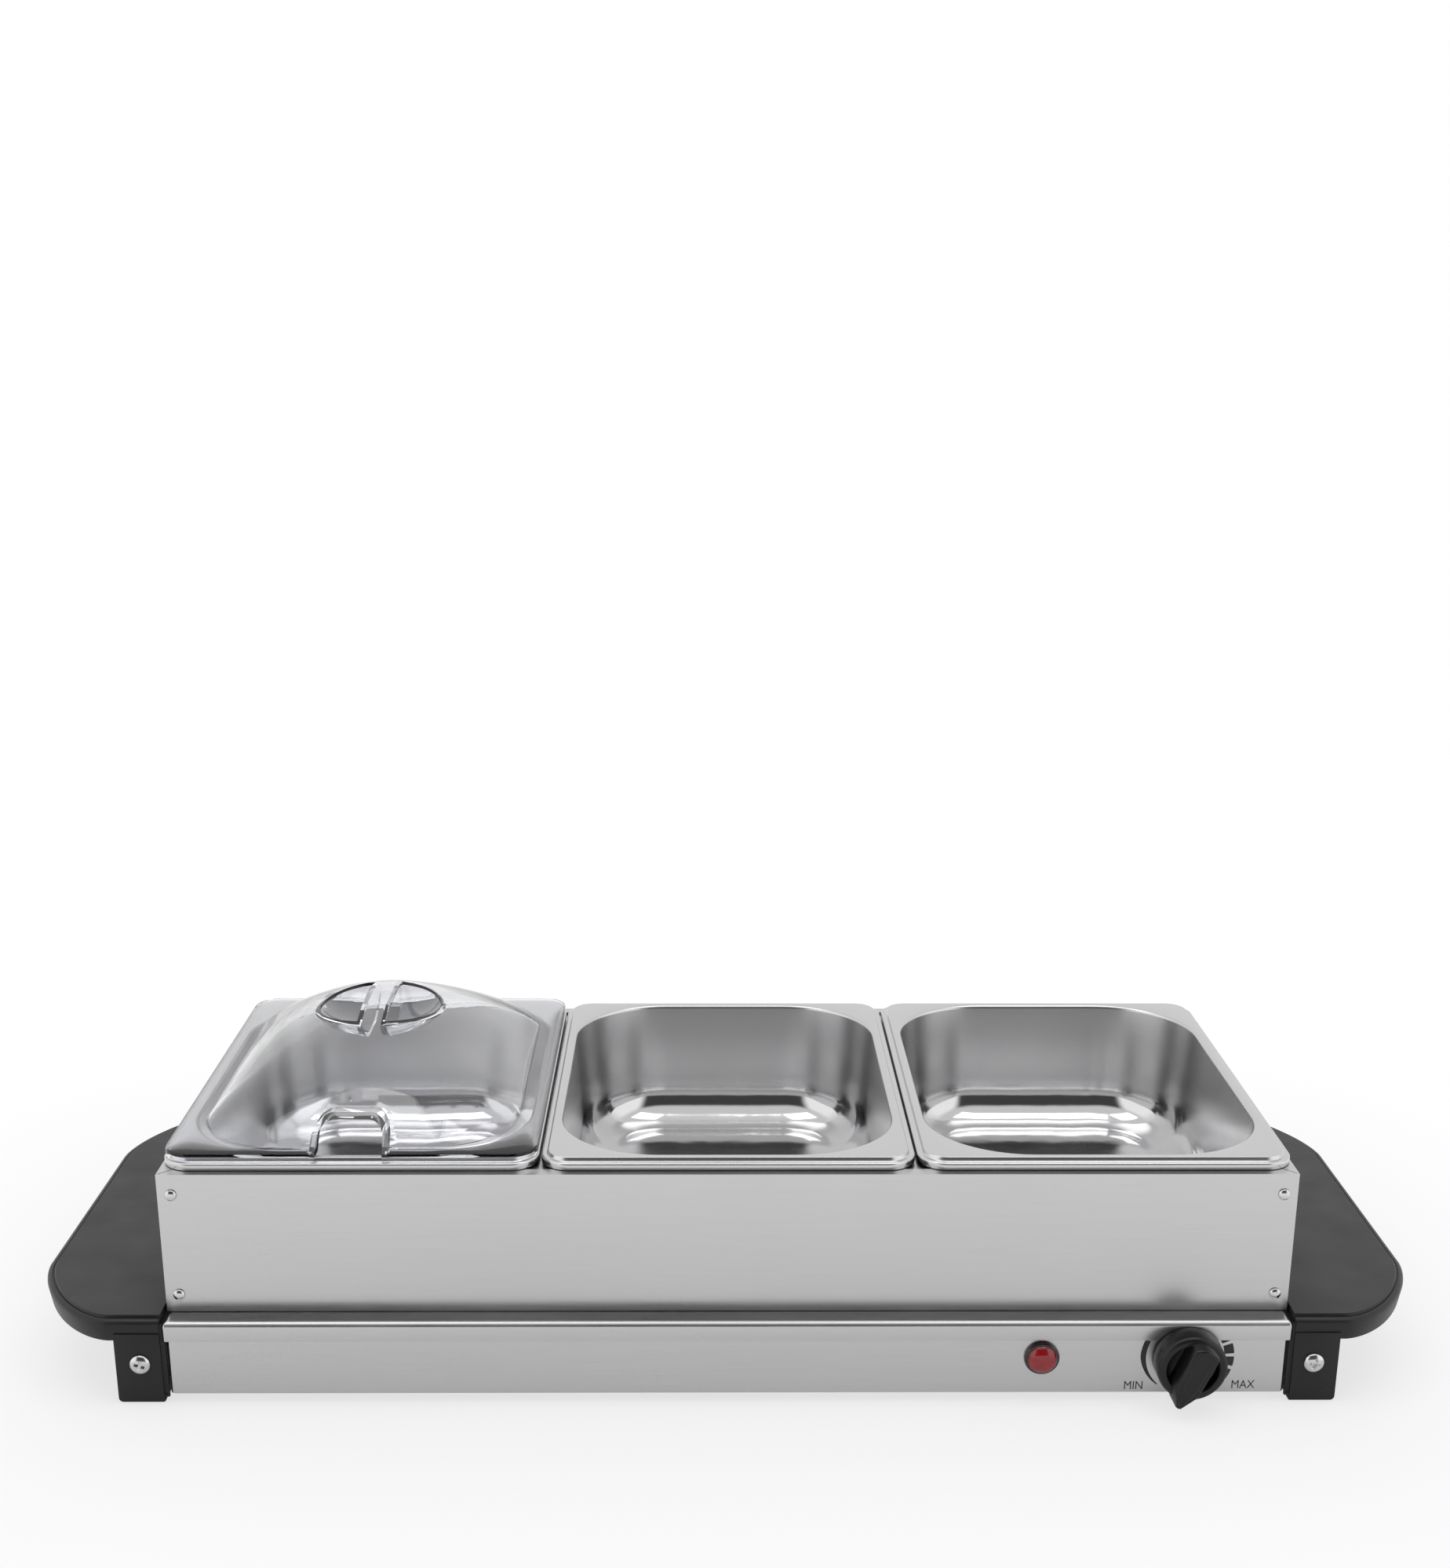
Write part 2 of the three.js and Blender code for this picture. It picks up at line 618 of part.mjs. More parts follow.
function bottomCover() {
  const halfX = BODY_WIDTH / 2 - SHELL_SETBACK - SHELL_FLANGE + COVER_OVERLAP;
  const halfY = PLATE_DEPTH / 2 - SHELL_SETBACK - SHELL_FLANGE + COVER_OVERLAP;
  const [bottom, top] = [SHELL_BOTTOM - GAP - SHEET, SHELL_BOTTOM - GAP];
  const plate = loft([bottom, top].map((z) => roundedOutline(halfX, halfY, 6, z, 3)));
  const vents = [-1, 1].flatMap((side) =>
    Array.from({ length: COVER_VENTS }, (_, i) => {
      const x = (i - (COVER_VENTS - 1) / 2) * COVER_VENT_PITCH;
      return slab([x - 2.5, x + 2.5], [side * 62 - 15, side * 62 + 15], [bottom - 1, top + 1]);
    }),
  );
  return piece("bottom_cover", cut(plate, ...vents, ...coverScrewHoles(bottom - 1, top + 1)), "zinc");
}

function coverScrew(name, x, y) {
  const headTop = SHELL_BOTTOM - 2 * GAP - SHEET;
  const head = [[0, 0], [2.4, 0], [3.4, 0.7], [3.4, 1.4], [1.6, 1.4], [1.6, 7.5], [0.9, 8.6], [0, 8.6]];
  return place(piece(name, turned(head, 10), "zinc"), x, y, headTop - 1.4);
}

// ---- handles ----

// Plan of the right-hand handle, inset from its outer edge. The inner side is straight.
function handlePlan(inset) {
  const [inner, outer] = [HANDLE_INNER + inset, HANDLE_REACH - inset];
  const depth = PLATE_DEPTH / 2 - inset;
  const corner = Array.from({ length: HANDLE_CORNER_STEPS + 1 }, (_, step) => {
    const angle = ((step / HANDLE_CORNER_STEPS) * Math.PI) / 2;
    const x = outer - (HANDLE_CORNER_X - inset) * (1 - Math.cos(angle) ** HANDLE_CORNER_POWER);
    const y = depth - (HANDLE_CORNER_Y - inset) * (1 - Math.sin(angle) ** HANDLE_CORNER_POWER);
    return [x, y];
  });
  const plan = new THREE.Shape();
  plan.moveTo(inner, -depth);
  corner.toReversed().forEach(([x, y]) => plan.lineTo(x, -y));
  corner.forEach(([x, y]) => plan.lineTo(x, y));
  plan.lineTo(inner, depth);
  return plan;
}

// The handle's top: an upside-down tray with a rounded edge.
function handleBody() {
  const edge = HANDLE_EDGE_RADIUS;
  const top = new THREE.ExtrudeGeometry(handlePlan(edge), {
    depth: HANDLE_TOP - HANDLE_BOTTOM - 2 * edge,
    bevelSize: edge,
    bevelThickness: edge,
    bevelSegments: 2,
  }).translate(0, 0, HANDLE_BOTTOM + edge);
  const hollow = new THREE.ExtrudeGeometry(handlePlan(HANDLE_WALL), {
    depth: HANDLE_TOP - HANDLE_BOTTOM,
    bevelEnabled: false,
  }).translate(0, 0, HANDLE_BOTTOM - HANDLE_WALL);
  return cut(top, hollow);
}

// A leg: a front wall, an outer wall and a floor. Its inner side is open, but for a set-back strip
// that closes the gap to the body.
function handleLeg() {
  const face = -PLATE_DEPTH / 2;
  const plan = new THREE.Shape();
  const foot = 2;
  plan.moveTo(HANDLE_INNER, LEG_BOTTOM);
  plan.lineTo(LEG_OUTER - foot, LEG_BOTTOM);
  plan.absarc(LEG_OUTER - foot, LEG_BOTTOM + foot, foot, -Math.PI / 2, 0);
  plan.lineTo(LEG_OUTER, HANDLE_BOTTOM + 4);
  plan.lineTo(HANDLE_INNER, HANDLE_BOTTOM + 4);
  const block = new THREE.ExtrudeGeometry(plan, { depth: LEG_DEPTH, bevelEnabled: false, curveSegments: 4 });
  block.rotateX(Math.PI / 2).translate(0, face + LEG_DEPTH, 0);
  const hollow = slab(
    [HANDLE_INNER - 1, LEG_OUTER - HANDLE_WALL],
    [face + HANDLE_WALL, face + LEG_DEPTH + 1],
    [LEG_BOTTOM + LEG_FLOOR, HANDLE_TOP - HANDLE_WALL],
  );
  const strip = slab(
    [BODY_WIDTH / 2 + GAP, HANDLE_INNER + 1],
    [face + LEG_STRIP_SETBACK, face + HANDLE_WALL],
    [LEG_BOTTOM + LEG_FLOOR / 2, LEG_STRIP_TOP],
  );
  const screwY = [face - 1, face + HANDLE_WALL + 1];
  const screwHole = barAlongY(SCREW_SHANK_RADIUS + GAP, ...screwY, SCREW_X, SCREW_Z, 12);
  const padZ = [LEG_BOTTOM - 1, LEG_BOTTOM + PAD_RECESS];
  const padHole = barAlongZ(PAD_RADIUS + GAP, ...padZ, PAD_X, face + LEG_DEPTH / 2, 16);
  return cut(join(cut(block, hollow), legHook(face), strip), screwHole, padHole);
}

// The small hook at the leg's foot that reaches under the base's edge.
function legHook(face) {
  const top = SHELL_BOTTOM - GAP;
  const reach = 249.8;
  const profile = new THREE.Shape();
  profile.moveTo(HANDLE_INNER + 0.5, LEG_BOTTOM);
  profile.lineTo(HANDLE_INNER - 0.2, LEG_BOTTOM);
  profile.lineTo(reach, top - 0.6);
  profile.lineTo(reach, top);
  profile.lineTo(HANDLE_INNER + 0.5, top);
  const hook = new THREE.ExtrudeGeometry(profile, { depth: LEG_DEPTH - 1, bevelEnabled: false });
  return hook.rotateX(Math.PI / 2).translate(0, face + LEG_DEPTH - 0.5, 0);
}

function mirrored(geometry, axis) {
  const flip = axis === "x" ? [-1, 1, 1] : [1, -1, 1];
  const solid = solidOf(geometry).scale(flip);
  return geometryOf(solid);
}

function handle(name, side) {
  const body = join(handleBody(), handleLeg(), mirrored(handleLeg(), "y"));
  return piece(name, side > 0 ? body : mirrored(body, "x"), "satinBlack");
}

// A strip on the end of the base, with its two ends bent out behind the legs for the screws.
function handleBracket(name, side) {
  const inner = BODY_WIDTH / 2 - SHELL_SETBACK + GAP;
  const thick = 1.5;
  const end = PLATE_DEPTH / 2 - HANDLE_WALL - GAP;
  const [bottom, top] = [SCREW_Z - 8, SCREW_Z + 8];
  const tabs = [-1, 1].map((way) => {
    const depth = [way * end, way * (end - thick)].sort((a, b) => a - b);
    return slab([inner, LEG_OUTER - HANDLE_WALL - 1], depth, [bottom, top]);
  });
  const strip = join(slab([inner, inner + thick], [-end, end], [bottom, top]), ...tabs);
  const holes = [-1, 1].map((way) =>
    barAlongY(SCREW_SHANK_RADIUS + GAP, way * end - 4, way * end + 4, SCREW_X, SCREW_Z, 12),
  );
  const body = cut(strip, ...holes);
  return piece(name, side > 0 ? body : mirrored(body, "x"), "zinc");
}

// A pan-head screw with a cross recess, its head facing the front.
function handleScrew(name, x, side) {
  const radius = SCREW_HEAD_RADIUS;
  const reach = HANDLE_WALL + 6;
  const profile = [
    [0, -reach],
    [1.2, -reach],
    [SCREW_SHANK_RADIUS, -reach + 1.4],
    [SCREW_SHANK_RADIUS, 0],
    [radius, 0],
    [radius, 0.7],
    [radius * 0.7, 1.9],
    [0, 2.4],
  ];
  const [long, wide] = [[-3.2, 3.2], [-0.8, 0.8]];
  const recess = [slab(wide, [-5, -1.1], long), slab(long, [-5, -1.1], wide)];
  const mesh = piece(name, cut(turnedToFront(profile, 14), ...recess), "polished");
  mesh.rotation.z = side < 0 ? 0 : Math.PI;
  return place(mesh, x, side * (PLATE_DEPTH / 2 + GAP / 2), SCREW_Z);
}

function footPad(name, sideX, sideY) {
  const top = LEG_BOTTOM + PAD_RECESS - GAP;
  const pad = turned([[0, 0], [PAD_RADIUS - 0.6, 0], [PAD_RADIUS, 0.5], [PAD_RADIUS, top], [0, top]], 16);
  return place(piece(name, pad, "rubber"), sideX * PAD_X, sideY * (PLATE_DEPTH - LEG_DEPTH) / 2, 0);
}

// ---- control and lamp ----

// The knob, its axis on the Y axis and its pointer towards -Z. y = 0 is the panel's face.
function knob() {
  const skirt = turnedToFront(
    [
      [0, 5],
      [10, 5],
      [10, KNOB_LIFT],
      [KNOB_RADIUS - 0.4, KNOB_LIFT],
      [KNOB_RADIUS, KNOB_LIFT + 0.8],
      [KNOB_RADIUS, KNOB_SKIRT - 2],
      [KNOB_RADIUS - 0.8, KNOB_SKIRT - 0.6],
      [KNOB_RADIUS - 2, KNOB_SKIRT],
      [KNOB_RADIUS - 4, KNOB_SKIRT],
      [KNOB_RADIUS - 4.2, 8.2],
      [0, 8.2],
    ],
    28,
  );
  const grip = new THREE.Shape();
  const half = 5.2;
  const rear = KNOB_RADIUS - 2;
  grip.moveTo(-half, rear - 3);
  grip.quadraticCurveTo(0, rear + 2.4, half, rear - 3);
  grip.lineTo(half, -KNOB_POINTER + 8);
  grip.lineTo(0.8, -KNOB_POINTER + 1.2);
  grip.lineTo(-0.8, -KNOB_POINTER + 1.2);
  grip.lineTo(-half, -KNOB_POINTER + 8);
  const bar = new THREE.ExtrudeGeometry(grip, {
    depth: KNOB_REACH - 5 - 2.4,
    bevelSize: 1.2,
    bevelThickness: 1.2,
    bevelSegments: 2,
    curveSegments: 6,
  });
  bar.rotateX(Math.PI / 2).translate(0, -5 - 1.2, 0);
  const bore = barAlongY(SHAFT_RADIUS + GAP, -12.3, 1, 0, 0, 20);
  return cut(join(skirt, bar), bore);
}

function controlKnob() {
  const mesh = piece("control_knob", knob(), "knobBlack");
  mesh.rotation.y = KNOB_REST_ANGLE;
  return place(mesh, CONTROL_X, PANEL_Y, CONTROL_Z);
}

function thermostatShaft() {
  const shaft = barAlongY(SHAFT_RADIUS, -12, 10, 0, 0, 20);
  const flat = slab([-5, 5], [-13, -2], [SHAFT_RADIUS - 1, 5]);
  return place(piece("thermostat_shaft", cut(shaft, flat), "zinc"), CONTROL_X, PANEL_Y, CONTROL_Z);
}

// A round switch can behind the panel, with a threaded neck through it and two terminals at the back.
function thermostatBody() {
  const behind = SHEET + GAP;
  const can = barAlongY(13.5, behind, behind + 20, 0, 0, 28);
  const neck = barAlongY(4.9, -3.6, behind + 1, 0, 0, 20);
  const blades = [-6, 6].map((x) => slab([x - 3, x + 3], [behind + 19, behind + 27], [-0.5, 0.5]));
  const bore = barAlongY(SHAFT_RADIUS + GAP, -5, 10 + GAP, 0, 0, 20);
  const body = piece("thermostat_body", cut(join(can, neck, ...blades), bore), "zinc");
  return place(body, CONTROL_X, PANEL_Y, CONTROL_Z);
}

function thermostatNut() {
  const hex = barAlongY(8, -3, -GAP, 0, 0, 6);
  const nut = cut(hex, barAlongY(4.9 + GAP, -4, 1, 0, 0, 20));
  return place(piece("thermostat_nut", nut, "zinc"), CONTROL_X, PANEL_Y, CONTROL_Z);
}

function lampLens() {
  const profile = [
    [0, -6],
    [5.6, -6],
    [5.6, 0],
    [LAMP_RADIUS, 0],
    [LAMP_RADIUS, 1.1],
    [LAMP_RADIUS - 0.8, 1.9],
    [LAMP_RADIUS - 1.4, 2.3],
    [LAMP_RADIUS * 0.6, 4.1],
    [LAMP_RADIUS * 0.3, 4.8],
    [0, 5],
  ];
  const lens = piece("lamp_lens", turnedToFront(profile, 20), "redLens");
  return place(lens, LAMP_X, PANEL_Y - GAP / 2, CONTROL_Z);
}

function lampBody() {
  const sleeve = barAlongY(7.6, SHEET + GAP, 24, 0, 0, 20);
  const pins = [-3, 3].map((x) => slab([x - 1.4, x + 1.4], [23, 30], [-0.4, 0.4]));
  const bore = barAlongY(5.6 + GAP, 0, 6 + 2 * GAP, 0, 0, 20);
  return place(piece("lamp_body", cut(join(sleeve, ...pins), bore), "ceramic"), LAMP_X, PANEL_Y, CONTROL_Z);
}

// ---- inner parts ----

// The heater's route: four straight runs joined by half rounds, its two ends on the right.
class ElementRoute extends THREE.Curve {
  constructor() {
    super();
    this.path = new THREE.CurvePath();
    ELEMENT_ROWS.forEach((y, row) => {
      const end = row % 2 === 0 ? -ELEMENT_REACH : ELEMENT_REACH;
      this.path.add(new THREE.LineCurve3(new THREE.Vector3(-end, y, 0), new THREE.Vector3(end, y, 0)));
      const next = ELEMENT_ROWS[row + 1];
      if (next !== undefined) this.path.add(new HalfRound(end, y, next, Math.sign(end)));
    });
  }

  getPoint(t, target = new THREE.Vector3()) {
    return target.copy(this.path.getPoint(t));
  }
}

class HalfRound extends THREE.Curve {
  constructor(x, yStart, yEnd, way) {
    super();
    Object.assign(this, { x, yStart, yEnd, way });
  }

  getPoint(t, target = new THREE.Vector3()) {
    const radius = (this.yEnd - this.yStart) / 2;
    const angle = -Math.PI / 2 + Math.PI * t;
    const x = this.x + this.way * radius * Math.cos(angle);
    return target.set(x, this.yStart + radius + radius * Math.sin(angle), 0);
  }
}

function circle(radius) {
  return new THREE.Shape().absarc(0, 0, radius, 0, 2 * Math.PI);
}

function tubeAlong(curve, radius, steps) {
  return new THREE.ExtrudeGeometry(circle(radius), { extrudePath: curve, steps, curveSegments: 3 });
}

function heatingElement() {
  const tube = tubeAlong(new ElementRoute(), ELEMENT_RADIUS, 72);
  return place(piece("heating_element", tube, "heater"), 0, 0, ELEMENT_Z);
}

function elementClamp(name, x) {
  const top = ELEMENT_Z - ELEMENT_RADIUS - GAP;
  const reach = ELEMENT_ROWS.at(-1) + 12;
  return place(piece(name, slab([-7, 7], [-reach, reach], [top - 1.2, top]), "zinc"), x, 0, 0);
}

function heatReflector() {
  const station = (inset, z) => roundedOutline(212 - inset, 94 - inset, 8, z, 3);
  const [floor, rim] = [26, 31];
  const outlines = [
    station(12, floor - 0.6),
    station(8, rim - 0.6),
    station(0, rim - 0.6),
    station(0, rim),
    station(8.5, rim),
    station(12.5, floor),
  ];
  return piece("heat_reflector", loft(outlines), "zinc");
}

function thermalFuse() {
  const can = new THREE.CapsuleGeometry(2.6, 11, 2, 10).rotateZ(Math.PI / 2);
  return place(piece("thermal_fuse", can, "zinc"), 225, FUSE_Y, FUSE_Z);
}

function terminalBlock() {
  const [x, y, z] = TERMINALS;
  const block = slab([-25, 25], [-8, 8], [-7, 7]);
  const entries = TERMINAL_WAYS.flatMap((way) => [
    barAlongY(2, -9, -3, way, -1, 8),
    barAlongY(2, 3, 9, way, -1, 8),
    barAlongZ(2.2, 3, 8, way, 0, 8),
  ]);
  return place(piece("terminal_block", cut(block, ...entries), "ceramic"), x, y, z);
}

// A stud with a washer on the bottom cover.
function earthScrew() {
  const profile = [[0, 0], [3.4, 0], [3.4, 1.2], [1.9, 1.2], [1.9, 6], [0, 6.6]];
  return place(piece("earth_screw", turned(profile, 12), "zinc"), EARTH_X, EARTH_Y, SHELL_BOTTOM);
}

// An insulated wire through hand-chosen points.
function wire(name, points, finish) {
  const stops = points.map((point) => new THREE.Vector3(...point));
  const route = new THREE.CatmullRomCurve3(stops, false, "catmullrom", 0.5);
  return piece(name, tubeAlong(route, 1.3, 14), finish);
}

// Terminals, left to right: earth, live, neutral to the lamp, neutral to the heater.
function innerWiring() {
  const [earth, live, lampNeutral, neutral] = TERMINAL_WAYS.map((way) => TERMINALS[0] + way);
  const [terminalY, terminalZ] = [TERMINALS[1] - 9, TERMINALS[2] - 1];
  const bladeY = PANEL_Y + SHEET + 28;
  const pinY = PANEL_Y + 31;
  const elementEnd = ELEMENT_REACH + GAP;
  const [firstRow, lastRow] = [ELEMENT_ROWS[0], ELEMENT_ROWS.at(-1)];
  const routes = {
    lead_live: [
      [live, terminalY, terminalZ], [142, 40, 9], [158, -30, 9], [186, -76, 12], [198.5, bladeY, 22],
    ],
    lead_switched: [
      [210.5, bladeY, 22], [222, -60, 22], [238, -10, 27], [241, 32, 33], [234, FUSE_Y, FUSE_Z],
    ],
    lead_fuse: [
      [elementEnd, lastRow, ELEMENT_Z], [192, 69, ELEMENT_Z], [204, 54, 35], [216.3, FUSE_Y, FUSE_Z],
    ],
    lead_neutral: [
      [elementEnd, firstRow, ELEMENT_Z], [204, -68, 35], [219, -42, 29], [220, 0, 16], [196, 50, 12],
      [neutral, terminalY, terminalZ],
    ],
    lead_lamp_live: [[142.5, pinY, 22], [152, -85, 22], [172, -92, 22], [195, -96.5, 22]],
    lead_lamp_neutral: [
      [136.5, pinY, 22], [140, -60, 20], [150, 0, 19], [157, 50, 16],
      [lampNeutral, terminalY, terminalZ],
    ],
    lead_earth: [[earth, terminalY, terminalZ], [127, 64, 12], [EARTH_X + 4.5, EARTH_Y, 9]],
  };
  const colours = { lead_earth: "wireEarth", lead_neutral: "wireBlue", lead_lamp_neutral: "wireBlue" };
  return Object.entries(routes).map(([name, points]) => wire(name, points, colours[name] ?? "wireBrown"));
}

// The bushing that a mains cord would pass through: flange outside, groove for the wall, collar inside.
function cordGland() {
  const bore = 3.6;
  const profile = [
    [bore, -7],
    [7.4, -7],
    [7.4, -SHEET - GAP],
    [5.6, -SHEET - GAP],
    [5.6, GAP],
    [8.5, GAP],
    [8.5, 2.6],
    [6.4, GLAND_REACH],
    [bore, GLAND_REACH],
    [bore, -7],
  ];
  const bushing = turnedToFront(profile, 16).rotateZ(Math.PI);
  return place(piece("cord_gland", bushing, "rubber"), GLAND_X, -PANEL_Y, GLAND_Z);
}

// ---- assembly ----

const SIDES = [["left", -1], ["right", 1]];
const ENDS = [["front", -1], ["rear", 1]];

function base() {
  const group = new THREE.Group();
  group.add(warmingPlate(), baseShell(), bottomCover(), heatingElement(), heatReflector(), thermalFuse());
  group.add(thermostatBody(), thermostatNut(), lampLens(), lampBody());
  group.add(terminalBlock(), earthScrew(), cordGland());
  group.add(...innerWiring());
  [-130, 0, 130].forEach((x, i) => group.add(elementClamp(`element_clamp_${i + 1}`, x)));
  coverScrewPlaces().forEach(([x, y], i) => group.add(coverScrew(`cover_screw_${i + 1}`, x, y)));
  for (const [sideName, side] of SIDES) {
    group.add(handle(`handle_${sideName}`, side), handleBracket(`handle_bracket_${sideName}`, side));
    for (const [endName, end] of ENDS) {
      group.add(handleScrew(`handle_screw_${endName}_${sideName}`, side * SCREW_X, end));
      group.add(footPad(`foot_pad_${endName}_${sideName}`, side, end));
    }
  }
  return group;
}

function frame() {
  const group = new THREE.Group();
  group.add(frameLongPanel("frame_front", -1), frameLongPanel("frame_rear", 1));
  for (const [sideName, side] of SIDES) {
    group.add(frameSidePanel(`frame_${sideName}`, side));
    group.add(place(frameDivider(`frame_divider_${sideName}`), (side * PAN_PITCH) / 2, 0, 0));
    for (const [endName, end] of ENDS) {
      RIVET_Z.forEach((z, i) => {
        const name = `rivet_${endName}_${sideName}_${i === 0 ? "lower" : "upper"}`;
        group.add(rivet(name, side * RIVET_X, end, z));
      });
    }
  }
  return group;
}

const server = new THREE.Group();
server.position.y = BODY_SHIFT;
server.add(base(), controlKnob(), thermostatShaft(), frame());
[["left", -1], ["middle", 0], ["right", 1]].forEach(([name, slot]) =>
  server.add(place(pan(`pan_${name}`), slot * PAN_PITCH, PAN_Y, 0)),
);
server.add(place(lid("lid_left"), -PAN_PITCH, LID_Y, 0));

export default server;
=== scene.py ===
"""Looks of an electric buffet server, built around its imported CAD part.

Lengths in the shape code are millimetres in the part's own frame: +X to the right, +Y to the back,
+Z up. new_piece() turns them into Blender's metres.
"""

import json
import math

import bmesh
import bpy
from mathutils import Matrix, Vector


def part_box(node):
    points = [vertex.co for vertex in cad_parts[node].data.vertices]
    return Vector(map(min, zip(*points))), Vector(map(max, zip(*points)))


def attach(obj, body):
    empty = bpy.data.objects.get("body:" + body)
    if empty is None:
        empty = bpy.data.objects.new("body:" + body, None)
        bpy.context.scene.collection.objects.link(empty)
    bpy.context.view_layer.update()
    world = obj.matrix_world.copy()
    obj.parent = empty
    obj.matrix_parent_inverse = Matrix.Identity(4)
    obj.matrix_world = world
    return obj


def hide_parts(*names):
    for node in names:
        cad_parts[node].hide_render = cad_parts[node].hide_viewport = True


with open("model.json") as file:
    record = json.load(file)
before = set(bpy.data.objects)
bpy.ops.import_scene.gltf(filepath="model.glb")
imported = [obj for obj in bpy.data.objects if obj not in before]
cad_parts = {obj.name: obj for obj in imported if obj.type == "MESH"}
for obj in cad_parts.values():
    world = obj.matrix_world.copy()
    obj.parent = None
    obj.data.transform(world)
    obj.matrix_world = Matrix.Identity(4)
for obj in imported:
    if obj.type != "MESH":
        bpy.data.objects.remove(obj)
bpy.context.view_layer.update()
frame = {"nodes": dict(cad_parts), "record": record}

MM = 0.001
SHEET = 0.8  # stainless sheet
BODY_Y = 6.0  # the body's middle plane, behind the origin

SIDES = (("left", -1), ("right", 1))
ENDS = (("front", -1), ("rear", 1))


# ---- mesh helpers ----


def box_mm(node):
    """Lowest and highest corners of a CAD node, in millimetres."""
    low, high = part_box(node)
    return low / MM, high / MM


def new_piece(name, points, faces):
    mesh = bpy.data.meshes.new(name)
    mesh.from_pydata([Vector(p) * MM for p in points], [], faces)
    work = bmesh.new()
    work.from_mesh(mesh)
    bmesh.ops.remove_doubles(work, verts=work.verts, dist=1e-7)
    bmesh.ops.recalc_face_normals(work, faces=work.faces)
    work.to_mesh(mesh)
    work.free()
    piece = bpy.data.objects.new(name, mesh)
    bpy.context.scene.collection.objects.link(piece)
    return piece


def apply_modifiers(piece):
    bpy.context.view_layer.update()
    graph = bpy.context.evaluated_depsgraph_get()
    mesh = bpy.data.meshes.new_from_object(piece.evaluated_get(graph))
    old = piece.data
    piece.modifiers.clear()
    piece.data = mesh
    mesh.name = old.name
    bpy.data.meshes.remove(old)


def combine(piece, tool, operation):
    """Joins a tool to a piece, cuts it away, or keeps what both hold. The tool is used up."""
    modifier = piece.modifiers.new(operation, "BOOLEAN")
    modifier.operation = operation
    modifier.solver = "MANIFOLD"
    modifier.object = tool
    apply_modifiers(piece)
    bpy.data.objects.remove(tool)
    return piece


def round_edges(piece, width, angle):
    modifier = piece.modifiers.new("round", "BEVEL")
    modifier.width = width * MM
    modifier.segments = 2
    modifier.limit_method = "ANGLE"
    modifier.angle_limit = math.radians(angle)
    modifier.use_clamp_overlap = True
    apply_modifiers(piece)
    return piece


def shade(piece, angle):
    """Smooth faces, with edges sharper than the angle kept crisp."""
    work = bmesh.new()
    work.from_mesh(piece.data)
    limit = math.radians(angle)
    for edge in work.edges:
        edge.smooth = len(edge.link_faces) == 2 and edge.calc_face_angle(0.0) < limit
    for face in work.faces:
        face.smooth = True
    work.to_mesh(piece.data)
    work.free()
    return piece


def rounded_outline(half_x, half_y, radius, z, steps, centre=(0.0, 0.0)):
    """A rectangle with round corners, counter-clockwise from above."""
    points = []
    corners = ((1, 1), (-1, 1), (-1, -1), (1, -1))
    for quarter, (side_x, side_y) in enumerate(corners):
        for step in range(steps + 1):
            angle = (quarter + step / steps) * math.pi / 2
            x = side_x * (half_x - radius) + radius * math.cos(angle)
            y = side_y * (half_y - radius) + radius * math.sin(angle)
            points.append((centre[0] + x, centre[1] + y, z))
    return points


def with_side_points(outline, count):
    """The same rectangular outline, with more points along its four straight sides."""
    per_corner = len(outline) // 4
    points = []
    for i, point in enumerate(outline):
        points.append(point)
        if i % per_corner == per_corner - 1:
            after = outline[(i + 1) % len(outline)]
            for k in range(1, count + 1):
                points.append(tuple(Vector(point).lerp(Vector(after), k / (count + 1))))
    return points


def loft(name, outlines):
    """The skin over a stack of outlines, closed at both ends."""
    count = len(outlines[0])
    points = [p for outline in outlines for p in outline]
    last = (len(outlines) - 1) * count
    faces = []
    for low in range(0, last, count):
        high = low + count
        for i in range(count):
            j = (i + 1) % count
            faces.append((low + i, low + j, high + j, high + i))
    faces.append(tuple(range(count))[::-1])
    faces.append(tuple(range(last, last + count)))
    return new_piece(name, points, faces)


def other_side(stations, thickness):
    """The other side of a sheet, given as [inset, z, radius] stations along its first side."""
    moved = []
    for i, (inset, z, radius) in enumerate(stations):
        before = stations[max(i - 1, 0)]
        after = stations[min(i + 1, len(stations) - 1)]
        a = Vector((inset - before[0], z - before[1]))
        b = Vector((after[0] - inset, after[1] - z))
        along = a.normalized() if a.length > 0 else b.normalized()
        onward = b.normalized() if b.length > 0 else along
        normal = Vector((along.y + onward.y, -along.x - onward.x)).normalized()
        across = Vector((along.y, -along.x))
        reach = thickness / max(normal.dot(across), 0.7)
        moved.append((inset + normal.x * reach, z + normal.y * reach, max(radius - normal.x * reach, 0.4)))
    return moved


def round_stations(centre, size, start, end, steps, radius_at):
    """Stations along an arc about a centre, given as [inset, z]; the angles are in degrees."""
    stations = []
    for step in range(steps + 1):
        angle = math.radians(start + (end - start) * step / steps)
        inset = centre[0] + size * math.cos(angle)
        stations.append((inset, centre[1] + size * math.sin(angle), radius_at(inset)))
    return stations


def prism(name, plan, low, high, axis="z"):
    """A plan of [a, b] points pushed from low to high along an axis."""
    def at(a, b, level):
        return {"x": (level, a, b), "y": (a, level, b), "z": (a, b, level)}[axis]

    points = [at(a, b, low) for a, b in plan] + [at(a, b, high) for a, b in plan]
    count = len(plan)
    faces = [(i, (i + 1) % count, count + (i + 1) % count, count + i) for i in range(count)]
    faces += [tuple(range(count))[::-1], tuple(range(count, 2 * count))]
    return new_piece(name, points, faces)


